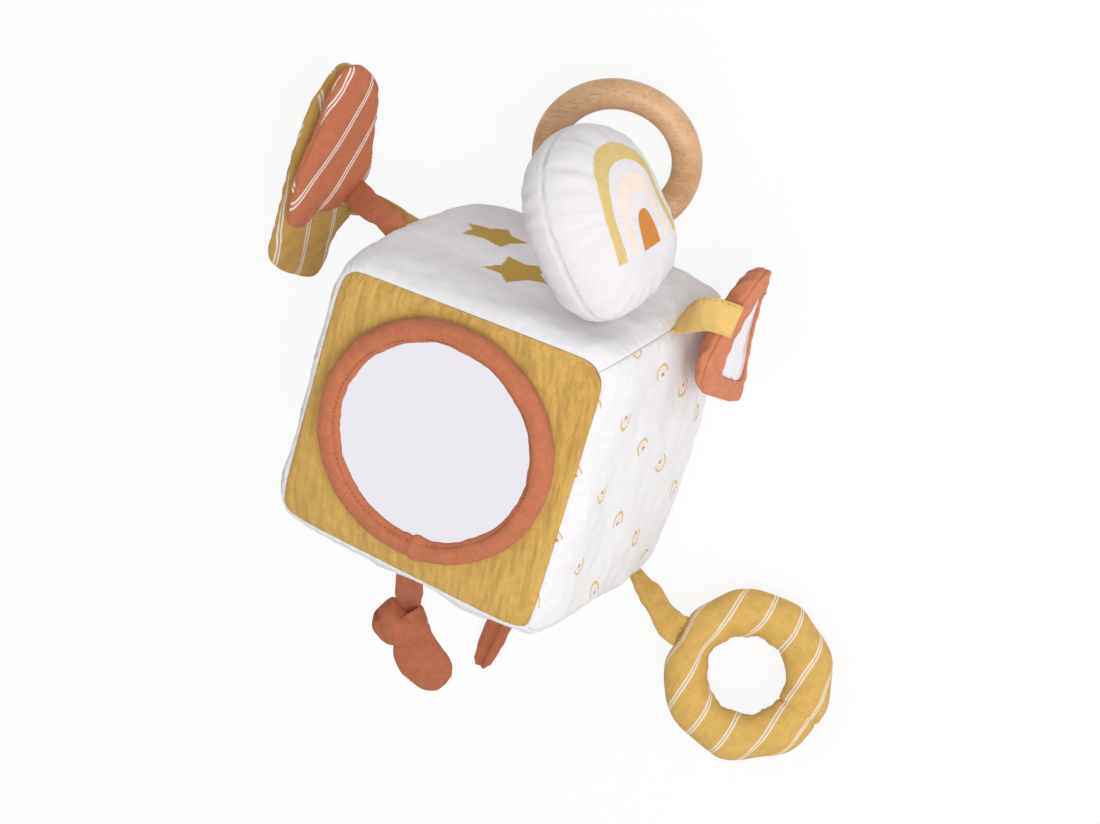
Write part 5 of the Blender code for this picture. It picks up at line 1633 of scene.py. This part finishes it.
def dress_hidden_nodes() -> None:
    """The foam, fillings, films, capsule and beads keep their CAD shapes and get their finishes."""
    finishes = {
        "foam_core": Stuffing("open-cell foam", (0.80, 0.78, 0.70), 0.0016),
        "filling": Stuffing("polyester filling", (0.80, 0.80, 0.80), 0.0030),
        "wadding": Stuffing("thin wadding", (0.80, 0.80, 0.80), 0.0024),
        "_film": Film("crackling film", (0.78, 0.80, 0.83), roughness=0.15, wave=0.0006, wave_scale=160.0),
        "capsule": Stuffing("rattle capsule", (0.70, 0.74, 0.78), 0.0100, roughness=0.35),
        "bead": Stuffing("rattle bead", (0.56, 0.18, 0.09), 0.0040, roughness=0.4),
    }
    for word, finish in finishes.items():
        made = finish.material()
        for name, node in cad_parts.items():
            if word in name and not node.hide_render:
                node.data.materials.clear()
                node.data.materials.append(made)


# The stage


def make_stage() -> None:
    """The camera, the pale floor, the lamps and the world."""
    scene = bpy.context.scene
    scene.view_settings.view_transform = "Standard"
    right, down, ahead = (0.87317, 0.27025, -0.40564), (0.38139, -0.89702, 0.22336), (-0.3035, -0.34974, -0.88632)
    turn = Matrix((right, tuple(-part for part in down), tuple(-part for part in ahead))).transposed().to_4x4()
    lens = bpy.data.cameras.new("camera")
    lens.lens, lens.sensor_width, lens.clip_end = 100.0, 36.0, 20.0
    camera = bpy.data.objects.new("camera", lens)
    scene.collection.objects.link(camera)
    camera.matrix_world = Matrix.Translation((0.39259, 0.43749, 1.15195)) @ turn
    scene.camera = camera
    lamp("key lamp", (0.66, 0.20, 1.12), 0.7, 10.5)
    lamp("fill lamp", (-0.60, 0.50, 1.05), 0.9, 0.5)
    make_floor()
    make_world()


def lamp(name: str, place: Place, size: float, power: float) -> None:
    """A square soft lamp that looks at the block."""
    light = bpy.data.lights.new(name, "AREA")
    light.size, light.energy = size, power
    made = bpy.data.objects.new(name, light)
    bpy.context.scene.collection.objects.link(made)
    back = unit(np.array(place) - np.array([0.0, 0.0, 0.05]))
    side = unit(np.cross([0.0, 1.0, 0.2], back))
    turn = Matrix((tuple(side), tuple(np.cross(back, side)), tuple(back))).transposed().to_4x4()
    made.matrix_world = Matrix.Translation(place) @ turn


def make_floor() -> None:
    """A wide pale floor that stays white to the camera but keeps the soft shadow."""
    graph = Graph("pale floor")
    graph.tree.nodes.remove(graph.shader)
    cloth = graph.node("ShaderNodeBsdfDiffuse")
    cloth.inputs["Color"].default_value = (0.90, 0.90, 0.90, 1.0)
    glow = graph.node("ShaderNodeEmission")
    paths = graph.node("ShaderNodeLightPath")
    share = graph.math("MULTIPLY", paths.outputs["Is Camera Ray"], 0.86)
    mixed = graph.node("ShaderNodeMixShader")
    for socket, value in zip(mixed.inputs, (share, cloth.outputs[0], glow.outputs[0])):
        graph.feed(socket, value)
    graph.feed(graph.tree.nodes["Material Output"].inputs["Surface"], mixed.outputs[0])
    side = np.linspace(-3.0, 3.0, 3)
    x, y = np.meshgrid(side, side)
    sheet = Patch(grid(x, y, -0.0002), np.zeros((3, 3, 2)))
    build("floor", [sheet], [graph.material])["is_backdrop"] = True


def make_world() -> None:
    """White to the camera and in gloss, and a softer white for the light on the object."""
    world = bpy.data.worlds.new("studio")
    bpy.context.scene.world = world
    world.use_nodes = True
    tree = world.node_tree
    tree.nodes.clear()
    paths = tree.nodes.new("ShaderNodeLightPath")
    either = tree.nodes.new("ShaderNodeMath")
    either.operation = "MAXIMUM"
    tree.links.new(paths.outputs["Is Camera Ray"], either.inputs[0])
    tree.links.new(paths.outputs["Is Glossy Ray"], either.inputs[1])
    seen = tree.nodes.new("ShaderNodeMath")
    seen.operation = "MAXIMUM"
    tree.links.new(either.outputs[0], seen.inputs[0])
    tree.links.new(paths.outputs["Is Transmission Ray"], seen.inputs[1])
    strength = tree.nodes.new("ShaderNodeMapRange")
    tree.links.new(seen.outputs[0], strength.inputs[0])
    strength.inputs["To Min"].default_value = 0.62
    strength.inputs["To Max"].default_value = 1.0
    light = tree.nodes.new("ShaderNodeBackground")
    light.inputs["Color"].default_value = (1.0, 1.0, 1.0, 1.0)
    tree.links.new(strength.outputs[0], light.inputs["Strength"])
    out = tree.nodes.new("ShaderNodeOutputWorld")
    tree.links.new(light.outputs[0], out.inputs["Surface"])


def write_sizes() -> None:
    """The CAD box and the dressed model's box, rounded to five places."""
    for box in (CAD_BOX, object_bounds()):
        numbers = [[round(float(part), 5) for part in corner] for corner in box]


LEAVES = (
    Leaf(
        name="clay_leaf",
        dye=Dye.CLAY,
        length=0.0740,
        place=(-0.0956, 0.0803, 0.0708),
        shares=(
            (-0.13, 0.47), (-0.03, 0.50), (0.09, 0.42), (0.15, 0.31), (0.22, -0.01), (0.245, -0.11),
            (0.240, -0.22), (0.14, -0.36), (0.04, -0.41), (-0.06, -0.42), (-0.13, -0.50), (-0.22, -0.465),
            (-0.245, -0.29), (-0.245, -0.13), (-0.20, 0.12), (-0.18, 0.35),
        ),
        line_angle=math.radians(-21.0),
        line_start=-0.0008,
        root=(-0.06049, 0.05752, 0.08175),
        strap=(
            (-0.0577, 0.0548, 0.0756), (-0.06049, 0.05752, 0.0758), (-0.0668, 0.0604, 0.0738),
            (-0.0772, 0.0604, 0.0686), (-0.0911, 0.0612, 0.0592), (-0.0972, 0.0617, 0.0554),
        ),
        strap_sides=(
            (0.30, 0.45, -0.80), (0.42, 0.55, -0.70), (0.55, 0.69, -0.46), (0.42, 0.79, -0.45),
            (0.305, 0.851, -0.439), (0.305, 0.851, -0.439),
        ),
        strap_widths=(0.0090, 0.0092, 0.0104, 0.0112, 0.0115, 0.0115),
        seed=61,
    ),
    Leaf(
        name="ochre_leaf",
        dye=Dye.DEEP_OCHRE,
        length=0.1035,
        place=(-0.1065, 0.0613, 0.0540),
        shares=(
            (-0.118, 0.464), (-0.065, 0.500), (0.0, 0.474), (0.08, 0.40), (0.135, 0.24), (0.175, 0.05),
            (0.196, -0.12), (0.186, -0.20), (0.158, -0.25), (0.124, -0.32), (0.122, -0.42), (0.098, -0.485),
            (0.02, -0.48), (-0.11, -0.43), (-0.175, -0.36), (-0.18, -0.24), (-0.19, -0.06), (-0.197, 0.12),
            (-0.18, 0.30),
        ),
        line_angle=math.radians(9.8),
        line_start=-0.0028,
        root=(-0.06052, 0.05825, 0.0630),
        strap=(
            (-0.0577, 0.0554, 0.0630), (-0.06052, 0.05785, 0.0630), (-0.0654, 0.0569, 0.0612),
            (-0.0752, 0.0561, 0.0559), (-0.0853, 0.0551, 0.0514), (-0.0938, 0.0526, 0.0506),
        ),
        strap_sides=(
            (0.1, 0.1, -1.0), (0.25, 0.3, -0.9), (0.50, 0.69, -0.52), (0.42, 0.75, -0.5),
            (0.305, 0.80, -0.52), (0.305, 0.80, -0.52),
        ),
        strap_widths=(0.0118, 0.0110, 0.0108, 0.0108, 0.0108, 0.0108),
        seed=66,
    ),
)


def main() -> None:
    """Builds the stage and every piece, from the block outwards."""
    logging.basicConfig(level=logging.INFO, format="%(message)s")
    make_stage()
    block = (FabricBlock(), RoundMirror())
    hanging = (RainbowPad(), *LEAVES, FramedPad(), WoodenRing(), StuffedRing(), KnottedTail(), TailTag())
    for part in (*block, *hanging):
        part.make()
    dress_hidden_nodes()
    write_sizes()


if __name__ == "__main__":
    main()
